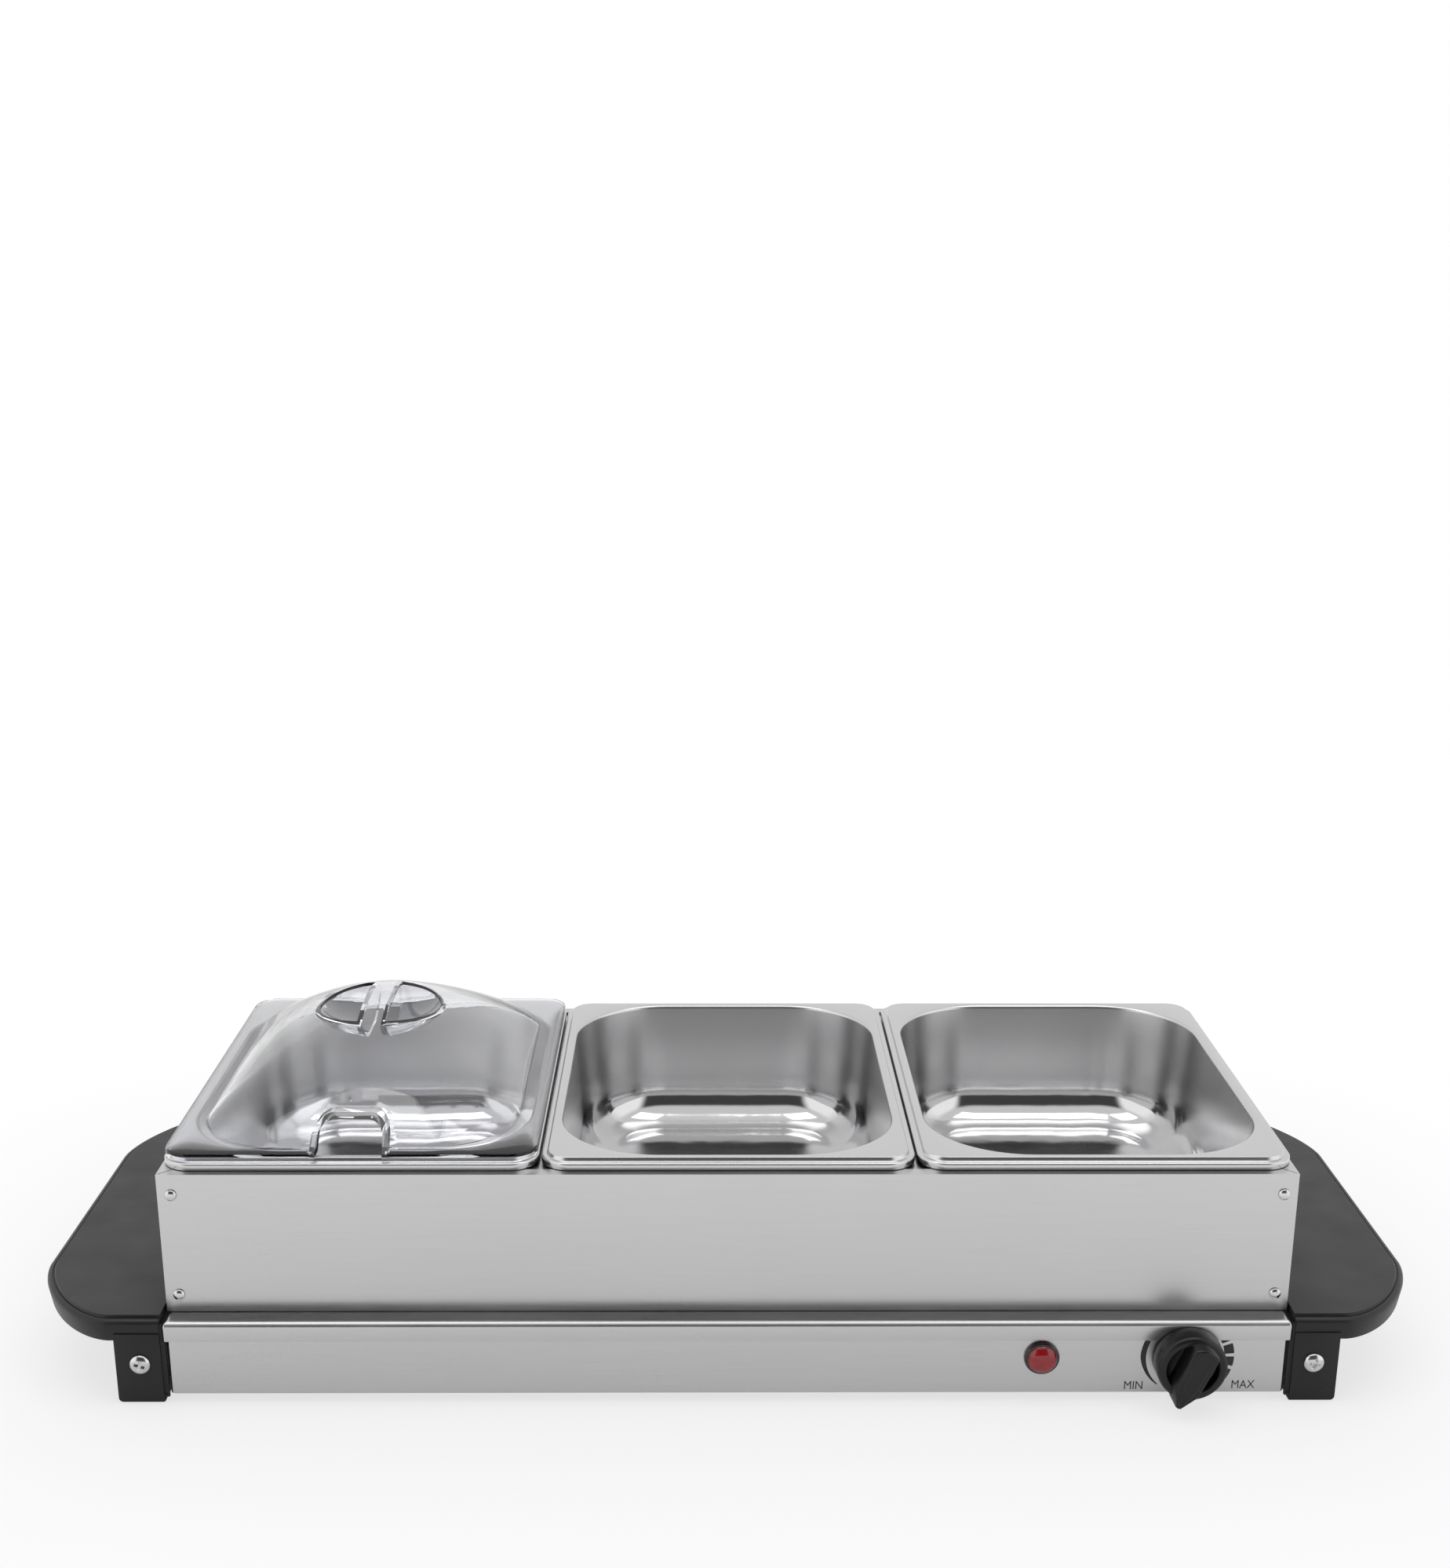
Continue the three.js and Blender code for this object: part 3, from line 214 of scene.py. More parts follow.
def slab(name, x, y, z):
    return prism(name, [(x[0], y[0]), (x[1], y[0]), (x[1], y[1]), (x[0], y[1])], *z)


def turned_to_front(name, profile, centre, sides, way=-1):
    """A turned piece about the Y axis. The profile is [radius, height]; heights grow towards way."""
    x0, y0, z0 = centre
    outlines = []
    for radius, height in profile:
        ring = []
        for i in range(sides):
            angle = 2 * math.pi * i / sides
            ring.append((x0 + radius * math.cos(angle), y0 + way * height, z0 + radius * math.sin(angle)))
        outlines.append(ring)
    return loft(name, outlines)


def turn_about_y(piece, centre, degrees):
    """Turns a piece's mesh about a line along Y, clockwise seen from the front."""
    pivot = Matrix.Translation(Vector(centre) * MM)
    turn = Matrix.Rotation(math.radians(degrees), 4, "Y")
    piece.data.transform(pivot @ turn @ pivot.inverted())
    return piece


def mirror_x(piece):
    piece.data.transform(Matrix.Diagonal((-1, 1, 1, 1)))
    piece.data.flip_normals()
    return piece


def dress(piece, material):
    piece.data.materials.clear()
    piece.data.materials.append(material)
    return piece


# ---- materials ----


class Nodes:
    """Small helper that adds shader nodes and links them."""

    def __init__(self, name):
        self.material = bpy.data.materials.new(name)
        self.material.use_nodes = True
        self.tree = self.material.node_tree
        self.shader = self.tree.nodes["Principled BSDF"]
        self.output = self.tree.nodes["Material Output"]
        self.place = self.add("ShaderNodeTexCoord").outputs["Object"]

    def add(self, kind, **settings):
        node = self.tree.nodes.new(kind)
        for key, value in settings.items():
            setattr(node, key, value)
        return node

    def link(self, source, target):
        self.tree.links.new(source, target)

    def set(self, **values):
        for key, value in values.items():
            self.shader.inputs[key.replace("_", " ")].default_value = value

    def noise(self, scale, detail=2.0, stretch=(1.0, 1.0, 1.0), roughness=0.5):
        mapping = self.add("ShaderNodeMapping")
        mapping.inputs["Scale"].default_value = stretch
        self.link(self.place, mapping.inputs["Vector"])
        node = self.add("ShaderNodeTexNoise")
        node.inputs["Scale"].default_value = scale
        node.inputs["Detail"].default_value = detail
        node.inputs["Roughness"].default_value = roughness
        self.link(mapping.outputs["Vector"], node.inputs["Vector"])
        return node.outputs["Fac"]

    def spread(self, source, low, high, from_low=0.3, from_high=0.7, smooth=False):
        """Maps a 0 to 1 pattern onto a range."""
        node = self.add("ShaderNodeMapRange")
        if smooth:
            node.interpolation_type = "SMOOTHSTEP"
        self.link(source, node.inputs["Value"])
        node.inputs["From Min"].default_value = from_low
        node.inputs["From Max"].default_value = from_high
        node.inputs["To Min"].default_value = low
        node.inputs["To Max"].default_value = high
        return node.outputs["Result"]

    def math(self, operation, a, b):
        node = self.add("ShaderNodeMath", operation=operation)
        for socket, value in zip(node.inputs, (a, b)):
            if isinstance(value, (int, float)):
                socket.default_value = value
            else:
                self.link(value, socket)
        return node.outputs["Value"]

    def vector_math(self, operation, source, *other):
        """Vector arithmetic on a socket; a length comes out as a value, the rest as a vector."""
        node = self.add("ShaderNodeVectorMath", operation=operation)
        self.link(source, node.inputs[0])
        for value in other:
            node.inputs[1].default_value = value
        return node.outputs["Value" if operation == "LENGTH" else "Vector"]

    def blend(self, factor, low, high):
        """A colour between two colours."""
        node = self.add("ShaderNodeMix", data_type="RGBA")
        self.link(factor, node.inputs["Factor"])
        for socket, value in ((node.inputs["A"], low), (node.inputs["B"], high)):
            if isinstance(value, tuple):
                socket.default_value = (*value, 1.0)
            else:
                self.link(value, socket)
        return node.outputs["Result"]

    def bump(self, height, strength, distance, below=None):
        node = self.add("ShaderNodeBump")
        node.inputs["Strength"].default_value = strength
        node.inputs["Distance"].default_value = distance
        self.link(height, node.inputs["Height"])
        if below is not None:
            self.link(below, node.inputs["Normal"])
        self.link(node.outputs["Normal"], self.shader.inputs["Normal"])
        return node.outputs["Normal"]

    def colour(self, source):
        self.link(source, self.shader.inputs["Base Color"])

    def rough(self, source):
        self.link(source, self.shader.inputs["Roughness"])


BRUSH_ALONG = {"x": (0.05, 1.0, 1.0), "y": (1.0, 0.05, 1.0), "z": (1.0, 1.0, 0.05)}


def brushed_steel(name, axis, tone=0.60, roughness=0.30):
    """Stainless sheet brushed along one axis, with fine streaks and faint smudges in its sheen."""
    nodes = Nodes(name)
    grain = nodes.noise(1500, 3, BRUSH_ALONG[axis], 0.6)
    streak = nodes.noise(700, 3, BRUSH_ALONG[axis], 0.6)
    smudge = nodes.noise(14, 3)
    tint = nodes.spread(streak, 0.0, 1.0)
    dark = tuple(tone * c for c in (0.98, 0.98, 0.985))
    light = tuple(tone * c for c in (1.015, 1.015, 1.025))
    nodes.colour(nodes.blend(tint, dark, light))
    base = nodes.spread(streak, roughness - 0.02, roughness + 0.03)
    nodes.rough(nodes.math("ADD", base, nodes.spread(smudge, -0.02, 0.02)))
    nodes.set(Metallic=1.0)
    nodes.bump(grain, 0.04, 0.00005)
    return nodes.material


def pan_steel(name):
    """Drawn stainless: satin walls brushed upright, and a mirror-bright bottom radius and floor."""
    polish_ends, satin_starts = 0.062, 0.071  # heights on the pan's wall, in metres
    nodes = Nodes(name)
    height = nodes.add("ShaderNodeSeparateXYZ")
    nodes.link(nodes.place, height.inputs["Vector"])
    satin = nodes.spread(height.outputs["Z"], 0.0, 1.0, polish_ends, satin_starts, smooth=True)
    streak = nodes.noise(600, 3, BRUSH_ALONG["z"], 0.6)
    ripple = nodes.noise(38, 2, (1.0, 1.0, 0.6))
    tint = nodes.spread(streak, 0.0, 1.0)
    nodes.colour(nodes.blend(tint, (0.610, 0.610, 0.615), (0.620, 0.620, 0.625)))
    walls = nodes.spread(streak, 0.26, 0.27)
    floor = nodes.spread(ripple, 0.07, 0.11)
    polished = nodes.math("SUBTRACT", 1.0, satin)
    mirror = nodes.math("MULTIPLY", floor, polished)
    nodes.rough(nodes.math("ADD", nodes.math("MULTIPLY", walls, satin), mirror))
    nodes.set(Metallic=1.0)
    nodes.bump(nodes.math("MULTIPLY", ripple, polished), 0.08, 0.005)
    return nodes.material


def polished_steel(name):
    nodes = Nodes(name)
    scuff = nodes.noise(260, 3)
    nodes.colour(nodes.blend(nodes.spread(scuff, 0, 1), (0.60, 0.60, 0.61), (0.70, 0.70, 0.71)))
    nodes.rough(nodes.spread(scuff, 0.10, 0.22))
    nodes.set(Metallic=1.0)
    nodes.bump(nodes.noise(900, 2), 0.05, 0.0001)
    return nodes.material


def zinc_plate(name):
    nodes = Nodes(name)
    spangle = nodes.add("ShaderNodeTexVoronoi")
    spangle.inputs["Scale"].default_value = 140
    nodes.link(nodes.place, spangle.inputs["Vector"])
    cloud = nodes.noise(60, 3)
    tone = nodes.math("ADD", nodes.math("MULTIPLY", spangle.outputs["Distance"], 0.4), cloud)
    tint = nodes.spread(tone, 0, 1, 0.4, 0.9)
    nodes.colour(nodes.blend(tint, (0.42, 0.43, 0.44), (0.55, 0.56, 0.57)))
    nodes.rough(nodes.spread(cloud, 0.36, 0.5))
    nodes.set(Metallic=1.0)
    nodes.bump(cloud, 0.1, 0.0003)
    return nodes.material


def moulded(name, colour, roughness, grain_scale=1500, grain=0.12, lift=1.25, specular=0.5):
    """Moulded plastic, rubber or ceramic: a fine grain, with uneven sheen from handling."""
    nodes = Nodes(name)
    fine = nodes.noise(grain_scale, 2)
    cloud = nodes.noise(45, 3)
    lighter = tuple(min(c * lift, 1.0) for c in colour)
    nodes.colour(nodes.blend(nodes.spread(cloud, 0, 1), colour, lighter))
    nodes.rough(nodes.spread(cloud, roughness - 0.05, roughness + 0.06))
    nodes.set(Specular_IOR_Level=specular)
    nodes.bump(fine, grain, 0.0001)
    return nodes.material


def heater_sheath(name):
    nodes = Nodes(name)
    scale = nodes.noise(220, 4)
    nodes.colour(nodes.blend(nodes.spread(scale, 0, 1), (0.10, 0.085, 0.07), (0.24, 0.21, 0.19)))
    nodes.rough(nodes.spread(scale, 0.45, 0.7))
    nodes.set(Metallic=0.8)
    nodes.bump(scale, 0.2, 0.0002)
    return nodes.material


def clear_plastic(name):
    """Clear moulded plastic with faint flow lines. Shadow rays pass, as they do through thin walls."""
    nodes = Nodes(name)
    flow = nodes.noise(16, 2)
    nodes.colour(nodes.blend(nodes.spread(flow, 0, 1), (0.955, 0.96, 0.985), (0.985, 0.987, 0.997)))
    nodes.rough(nodes.spread(nodes.noise(55, 3), 0.0, 0.01))
    nodes.set(Transmission_Weight=1.0, IOR=1.46)
    nodes.bump(flow, 0.02, 0.002)
    path = nodes.add("ShaderNodeLightPath")
    clear = nodes.add("ShaderNodeBsdfTransparent")
    clear.inputs["Color"].default_value = (0.93, 0.93, 0.945, 1.0)
    mix = nodes.add("ShaderNodeMixShader")
    nodes.link(path.outputs["Is Shadow Ray"], mix.inputs["Fac"])
    nodes.link(nodes.shader.outputs["BSDF"], mix.inputs[1])
    nodes.link(clear.outputs["BSDF"], mix.inputs[2])
    nodes.link(mix.outputs["Shader"], nodes.output.inputs["Surface"])
    return nodes.material


def lamp_red(name):
    """Red plastic, with painted shade that turns it nearly black round the rim, where the lens is thick
    and no light comes through.
    """
    nodes = Nodes(name)
    cloud = nodes.noise(300, 2)
    red = nodes.blend(nodes.spread(cloud, 0, 1), (0.24, 0.004, 0.007), (0.31, 0.008, 0.011))
    low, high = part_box("lamp_lens")
    offset = nodes.vector_math("SUBTRACT", nodes.place, (low + high) / 2)
    in_front_view = nodes.vector_math("MULTIPLY", offset, (1, 0, 1))
    radius = nodes.vector_math("LENGTH", in_front_view)
    # Painted shade: the mask below is 0 in the red middle and 1 past these radii, where the colour turns
    # nearly black for the thick rim that lets no light through.
    red_ends, painted_shade_starts = 0.0057, 0.0067
    rim = nodes.spread(radius, 0.0, 1.0, red_ends, painted_shade_starts, smooth=True)
    nodes.colour(nodes.blend(rim, red, (0.022, 0.004, 0.005)))
    nodes.rough(nodes.spread(cloud, 0.08, 0.16))
    nodes.set(IOR=1.5, Coat_Weight=0.4, Coat_Roughness=0.05)
    nodes.bump(cloud, 0.05, 0.0002)
    return nodes.material


def printed_ink(name):
    nodes = Nodes(name)
    cloud = nodes.noise(400, 3)
    nodes.colour(nodes.blend(nodes.spread(cloud, 0, 1), (0.012, 0.012, 0.013), (0.03, 0.03, 0.032)))
    nodes.rough(nodes.spread(cloud, 0.45, 0.6))
    nodes.bump(cloud, 0.05, 0.00005)
    return nodes.material


STEEL_X = brushed_steel("steel_brushed_along_x", "x")
STEEL_Y = brushed_steel("steel_brushed_along_y", "y")
STEEL_PAN = pan_steel("steel_drawn_pan")
STEEL_POLISHED = polished_steel("steel_polished")
ZINC = zinc_plate("zinc_plated_steel")
BLACK_SATIN = moulded("black_satin_plastic", (0.012, 0.012, 0.0125), 0.40, specular=0.35)
BLACK_KNOB = moulded("black_knob_plastic", (0.005, 0.005, 0.0055), 0.33, 1900, 0.08, specular=0.4)
RUBBER = moulded("black_rubber", (0.02, 0.02, 0.02), 0.8, 700, 0.3)
CERAMIC = moulded("glazed_ceramic", (0.72, 0.69, 0.62), 0.45, 600, 0.1, 1.08)
CLEAR = clear_plastic("clear_moulded_plastic")
RED = lamp_red("red_lamp_lens")
INK = printed_ink("printed_black_ink")
HEATER = heater_sheath("oxidised_heater_sheath")
WIRE_BROWN = moulded("wire_brown", (0.17, 0.06, 0.02), 0.45)
WIRE_BLUE = moulded("wire_blue", (0.02, 0.08, 0.32), 0.45)
WIRE_GREEN = moulded("wire_green", (0.16, 0.32, 0.03), 0.45)

SLOT_MATERIALS = {
    "brushed_stainless": STEEL_X,
    "polished_stainless": STEEL_POLISHED,
    "zinc_plate": ZINC,
    "satin_black_plastic": BLACK_SATIN,
    "knob_plastic": BLACK_KNOB,
    "clear_plastic": CLEAR,
    "lamp_red": RED,
    "heater_sheath": HEATER,
    "ceramic": CERAMIC,
    "black_rubber": RUBBER,
    "wire_brown": WIRE_BROWN,
    "wire_blue": WIRE_BLUE,
    "wire_green": WIRE_GREEN,
}


def dress_cad_nodes():
    for part in frame["record"]["subparts"]:
        dress(frame["nodes"][part["node"]], SLOT_MATERIALS[part["material_slot"]])
    for node in ("frame_left", "frame_right", "frame_divider_left", "frame_divider_right"):
        dress(frame["nodes"][node], STEEL_Y)


def put(piece, body, slot, material, *replaced):
    """Gives a finished piece its material and its body, and hides the CAD nodes it stands for. The slot is
    not used.
    """
    dress(piece, material)
    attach(piece, body)
    if replaced:
        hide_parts(*replaced)
    return piece


# ---- pans ----


PAN_RIM_HEIGHT = 4.9
PAN_DEPTH = 58.3  # from the lip's lower edge to the floor
PAN_WALL = 0.7


def pan_stations(rim_bottom):
    """The pan's upper surface as [inset, z, corner radius], from the lip's edge down to the floor."""
    shoulder = rim_bottom + 3.1
    top = rim_bottom + PAN_RIM_HEIGHT
    floor = rim_bottom - PAN_DEPTH
    floor_radius = 19.0
    opening = 7.2
    opening_edge = 1.8
    wall_foot = 9.8

    def rim(inset):
        return 13.0 - inset

    def wall(inset):
        return 45.0 - (inset - opening)

    stations = [(0.0, rim_bottom, rim(0.0))]
    stations += round_stations((0.9, shoulder - 0.9), 0.9, 180, 90, 4, rim)
    stations += [(2.0, shoulder, rim(2.0))]
    stations += round_stations((2.2, shoulder + 0.5), 0.5, 270, 330, 2, rim)
    stations += round_stations((3.5, top - 0.5), 0.5, 160, 90, 3, rim)
    edge_centre = (opening - opening_edge, top - opening_edge)
    stations += round_stations(edge_centre, opening_edge, 90, 4, 5, wall)
    floor_centre = (wall_foot + floor_radius, floor + floor_radius)
    stations += round_stations(floor_centre, floor_radius, 183, 270, 16, wall)
    return stations


def make_pan(name):
    low, high = box_mm(name)
    centre = ((low.x + high.x) / 2, (low.y + high.y) / 2)
    half_x, half_y = (high.x - low.x) / 2, (high.y - low.y) / 2
    rim_bottom = high.z - PAN_RIM_HEIGHT
    upper = pan_stations(rim_bottom)
    under = other_side(upper, PAN_WALL)[::-1]
    under[-1] = (under[-1][0], rim_bottom, under[-1][2])
    outlines = [
        rounded_outline(half_x - inset, half_y - inset, radius, z, 16, centre)
        for inset, z, radius in under + upper
    ]
    piece = shade(loft(f"{name}_shell", outlines), 50)
    put(piece, name, "polished_stainless", STEEL_PAN, name)


# ---- lid ----

LID_WALL = 2.0
FLANGE_HEIGHT = 3.7
FLANGE_CORNER = 12.5
DOME_HALF = (71.3, 98.5)
DOME_HEIGHT = 38.5
DOME_CORNER = 38.0
DOME_SHARES = (1, 0.985, 0.96, 0.92, 0.87, 0.81, 0.74, 0.66, 0.57, 0.48, 0.39, 0.3, 0.21, 0.12, 0.04)
LID_SIDE_POINTS = 10
WELL_DEPTH = 17.0
BRIDGE_HALF = 6.5  # half the width of the grip bridge between the two wells
NOTCH_HALF = 14.7
NOTCH_TOP = 124.2
NOTCH_RADIUS = 7.0
NOTCH_COLLAR = 2.4  # how far the notch's collar stands out round it
NOTCH_LEAN = 14.0  # how far the notch collar's front leans back, from its foot to the notch's top


def dome_height(share):
    return DOME_HEIGHT * max(1 - share**1.8, 0.0) ** (1 / 1.2)


def dome_outline(share, inward, z, centre):
    """A ring of the dome: nearly rectangular at its foot, an ellipse near the crown."""
    half_x, half_y = (DOME_HALF[0] - inward) * share, (DOME_HALF[1] - inward) * share
    rectangle = rounded_outline(half_x, half_y, DOME_CORNER * share, z, 16)
    points = []
    for x, y, _ in with_side_points(rectangle, LID_SIDE_POINTS):
        spread = math.hypot(x / half_x, y / half_y)
        to_ellipse = 1 + (1 / spread - 1) * (1 - share * share)
        points.append((centre[0] + x * to_ellipse, centre[1] + y * to_ellipse, z))
    return points


def dome_rings(inward, drop, flange_top, centre):
    foot = flange_top - drop
    return [dome_outline(share, inward, foot + dome_height(share), centre) for share in DOME_SHARES]


def well_tool(name, side, margin, bottom, top, centre):
    """A half-round pocket beside the grip bridge, grown by a margin."""
    def outline(radius, flat, z):
        reach = math.acos(flat / radius)
        ring = []
        for i in range(33):
            angle = -reach + 2 * reach * i / 32
            x = centre[0] + side * radius * math.cos(angle)
            ring.append((x, centre[1] + radius * math.sin(angle), z))
        return ring

    flat = BRIDGE_HALF - margin
    steps = ((8.5, 0.0), (12, 0.7), (17, 2.5), (21, 4.3), (25, 6.5), (28.5, 9.8), (31, 14.0))
    levels = [outline(radius + margin, flat, bottom + height) for radius, height in steps]
    levels.append(outline(steps[-1][0] + margin, flat, top))
    return loft(name, levels)


def notch_tool(name, grow, y, z_low, centre_x):
    """The spoon notch seen from the front: an arch with round top corners."""
    half, top, radius = NOTCH_HALF + grow, NOTCH_TOP + grow, NOTCH_RADIUS + grow
    plan = [(centre_x - half, z_low), (centre_x + half, z_low)]
    for side, start in ((1, 0), (-1, 90)):
        for step in range(11):
            angle = math.radians(start + 9 * step)
            x = side * (half - radius) + radius * math.cos(angle)
            plan.append((centre_x + x, top - radius + radius * math.sin(angle)))
    return prism(name, plan, *y, axis="y")


def make_lid(node):
    low, high = box_mm(node)
    centre = ((low.x + high.x) / 2, (low.y + high.y) / 2)
    half_x, half_y = (high.x - low.x) / 2, (high.y - low.y) / 2
    lip_bottom = low.z
    flange_top = low.z + FLANGE_HEIGHT
    flange_under = flange_top - LID_WALL
    crown = flange_top + DOME_HEIGHT

    def flange(inset, z):
        corner = FLANGE_CORNER - inset
        ring = rounded_outline(half_x - inset, half_y - inset, corner, z, 16, centre)
        return with_side_points(ring, LID_SIDE_POINTS)

    inner = [flange(1.3, lip_bottom), flange(1.3, flange_under)]
    inner += dome_rings(1.0, LID_WALL, flange_top, centre)
    outer = [flange(0, lip_bottom), flange(0, flange_top - 0.9), flange(0.26, flange_top - 0.27)]
    outer += [flange(0.9, flange_top)]
    outer += dome_rings(0.0, 0.0, flange_top, centre)
    lid = loft("lid_shell", inner[::-1] + outer)

    def under_dome(name, inward, drop):
        foot_level = 60
        foot = dome_outline(1, inward, foot_level, centre)
        return loft(name, [foot, *dome_rings(inward, drop, flange_top, centre)])

    front = low.y
    before = front - 5
    collar_back, limit_back, notch_back = front + 34, front + 40, front + 30
    collar = notch_tool("collar", NOTCH_COLLAR, (before, collar_back), flange_under, centre[0])
    peak = (front + 2 * NOTCH_LEAN, flange_top + 2 * (NOTCH_TOP - flange_top))
    lean = [(front, flange_under), (front, flange_top), peak, (limit_back, peak[1])]
    lean.append((limit_back, flange_under))
    combine(collar, prism("limit", lean, centre[0] - 40, centre[0] + 40, "x"), "INTERSECT")
    combine(collar, under_dome("inside", 1.0, LID_WALL), "DIFFERENCE")
    combine(lid, collar, "UNION")
    well_floor = crown - WELL_DEPTH
    for side in (-1, 1):
        cup = well_tool("cup", side, LID_WALL, well_floor - LID_WALL, crown - 3, centre)
        combine(cup, under_dome("limit", 0.5, LID_WALL / 2), "INTERSECT")
        combine(lid, cup, "UNION")
    for side in (-1, 1):
        combine(lid, well_tool("pocket", side, 0.0, well_floor, crown + 5, centre), "DIFFERENCE")
    notch = notch_tool("notch", 0.0, (before, notch_back), lip_bottom - 10, centre[0])
    combine(lid, notch, "DIFFERENCE")
    shade(lid, 28)
    put(lid, "lid", "clear_plastic", CLEAR, node)


# ---- handles ----

HANDLE_INNER = 251.5  # the handle's side beside the body
HANDLE_CORNER = (42.0, 59.0)
HANDLE_CORNER_POWER = 1.25  # above 1 the corner is flatter than an ellipse's
HANDLE_WALL = 2.8
HANDLE_DRAFT = 1.3
LEG_DEPTH = 24.0
LEG_OUTER = 271.8  # the leg's side away from the body
LEG_FOOT_RADIUS = 2.0
LEG_FLOOR = 3.4
STRIP_SIDE = 250.4  # the strip's side, beside the frame
STRIP_SETBACK = 1.2
STRIP_FOOT_SIDE = 249.35  # lower down the strip reaches the base's wall
STRIP_FOOT_TOP = 30.2


def handle_outline(inset, inner_x, reach, half_y, z):
    """Plan of the right-hand handle, inset from its outer edge; the inner side is straight."""
    outer, depth = reach - inset, half_y - inset
    corner = []
    for step in range(29):
        angle = math.pi / 2 * step / 28
        x = outer - (HANDLE_CORNER[0] - inset) * (1 - math.cos(angle) ** HANDLE_CORNER_POWER)
        y = depth - (HANDLE_CORNER[1] - inset) * (1 - math.sin(angle) ** HANDLE_CORNER_POWER)
        corner.append((x, y))
    corner[-1] = (outer - (HANDLE_CORNER[0] - inset), depth)
    points = [(inner_x, BODY_Y - depth, z)]
    points += [(x, BODY_Y - y, z) for x, y in reversed(corner)]
    points += [(x, BODY_Y + y, z) for x, y in corner]
    points.append((inner_x, BODY_Y + depth, z))
    return points


def handle_leg(end, face, bottom, top, strip_top):
    """A leg open to the inside, with a set-back strip beside the body and a hook under its edge."""
    def span(near, far):
        """A stretch of Y, given by how far its two ends lie behind the leg's face."""
        return sorted((BODY_Y + end * (face - near), BODY_Y + end * (face - far)))

    floor = bottom + LEG_FLOOR
    foot_x, foot_z = LEG_OUTER - LEG_FOOT_RADIUS, bottom + LEG_FOOT_RADIUS
    plan = [(HANDLE_INNER, bottom), (foot_x, bottom)]
    for step in range(1, 9):
        angle = math.radians(-90 + 90 * step / 8)
        x = foot_x + LEG_FOOT_RADIUS * math.cos(angle)
        plan.append((x, foot_z + LEG_FOOT_RADIUS * math.sin(angle)))
    plan += [(LEG_OUTER, top), (HANDLE_INNER, top)]
    leg = prism("leg", plan, *span(0, LEG_DEPTH), axis="y")
    across = (HANDLE_INNER - 1, LEG_OUTER - HANDLE_WALL)
    hollow = slab("hollow", across, span(HANDLE_WALL, LEG_DEPTH + 1), (floor, top + 5))
    combine(leg, hollow, "DIFFERENCE")
    for name, strip_side, high in (
        ("strip", STRIP_SIDE, strip_top),
        ("strip_foot", STRIP_FOOT_SIDE, STRIP_FOOT_TOP),
    ):
        thickness = span(STRIP_SETBACK, HANDLE_WALL)
        strip = slab(name, (strip_side, HANDLE_INNER + 1), thickness, (floor - 1.5, high))
        combine(leg, strip, "UNION")
    beside = HANDLE_INNER + 0.5
    hook = [(beside, bottom), (251.3, bottom), (249.8, floor - 0.6), (249.8, floor), (beside, floor)]
    return combine(leg, prism("hook", hook, *span(0.5, LEG_DEPTH - 0.5), axis="y"), "UNION")


def make_handle(side_name, side):
    node = f"handle_{side_name}"
    low, high = box_mm(node)
    reach = high.x if side > 0 else -low.x
    half_y = (high.y - low.y) / 2
    top, bottom = high.z, low.z
    skirt = bottom + 29.5
    bead, bead_foot = 2.3, top - 3.4
    profile = [(HANDLE_WALL, top - HANDLE_WALL), (HANDLE_WALL + HANDLE_DRAFT, skirt)]
    for inset, rise in ((0.9, 0), (0.25, 0.3), (0, 0.9)):
        profile.append((HANDLE_DRAFT + inset, skirt + rise))
    profile.append((0.0, bead_foot))
    for step in range(1, 7):
        angle = math.radians(90 * step / 6)
        profile.append((bead * (1 - math.cos(angle)), bead_foot + bead * math.sin(angle)))
    profile += [(2.6, top - 1.1), (2.75, top - 1.5), (3.3, top - 1.5), (3.5, top - 0.5), (4.0, top)]
    rows = []
    for i, (inset, z) in enumerate(profile):
        inner_x = HANDLE_INNER + (HANDLE_WALL if i < 2 else 0.0)
        rows.append(handle_outline(inset, inner_x, reach, half_y, z))
    handle = loft(f"{node}_body", rows)
    for end in (-1, 1):
        combine(handle, handle_leg(end, half_y, bottom, skirt + 4, top - 4), "UNION")
    if side < 0:
        mirror_x(handle)
    round_edges(handle, 0.45, 50)
    shade(handle, 35)
    put(handle, "base", "satin_black_plastic", BLACK_SATIN, node)


# ---- fixings ----


SCREW_SEAT = 122.15  # from the body's middle plane to the face under the screw's head
RIVET_HEAD = 1.4


def make_handle_screw(node):
    """A pan-head screw with a cross recess."""
    low, high = box_mm(node)
    way = -1 if low.y < 0 else 1
    radius = (high.x - low.x) / 2
    face = BODY_Y + way * SCREW_SEAT
    centre = ((low.x + high.x) / 2, face, (low.z + high.z) / 2)
    profile = [(0.05, -8.8), (1.2, -8.6), (1.9, -7.4), (1.9, 0), (radius, 0), (radius, 0.5)]
    for step in range(1, 11):
        angle = math.radians(9 * step)
        profile.append((max(radius * math.cos(angle), 0.05), 0.5 + 1.85 * math.sin(angle)))
    screw = turned_to_front(f"{node}_body", profile, centre, 48, way)
    slot_half, slot_reach, slot_foot = 0.75, 3.2, 0.45
    for along_x in (True, False):
        rows = []
        for share, depth in ((slot_foot, 0.9), (1.0, 3.0)):
            reach = slot_reach * share
            a, b = (reach, slot_half) if along_x else (slot_half, reach)
            y = face + way * depth
            x, z = centre[0], centre[2]
            rows.append([(x - a, y, z - b), (x + a, y, z - b), (x + a, y, z + b), (x - a, y, z + b)])
        combine(screw, loft("recess", rows), "DIFFERENCE")
    turn_about_y(screw, centre, 18 if way < 0 else -31)
    shade(screw, 35)
    put(screw, "base", "polished_stainless", STEEL_POLISHED, node)


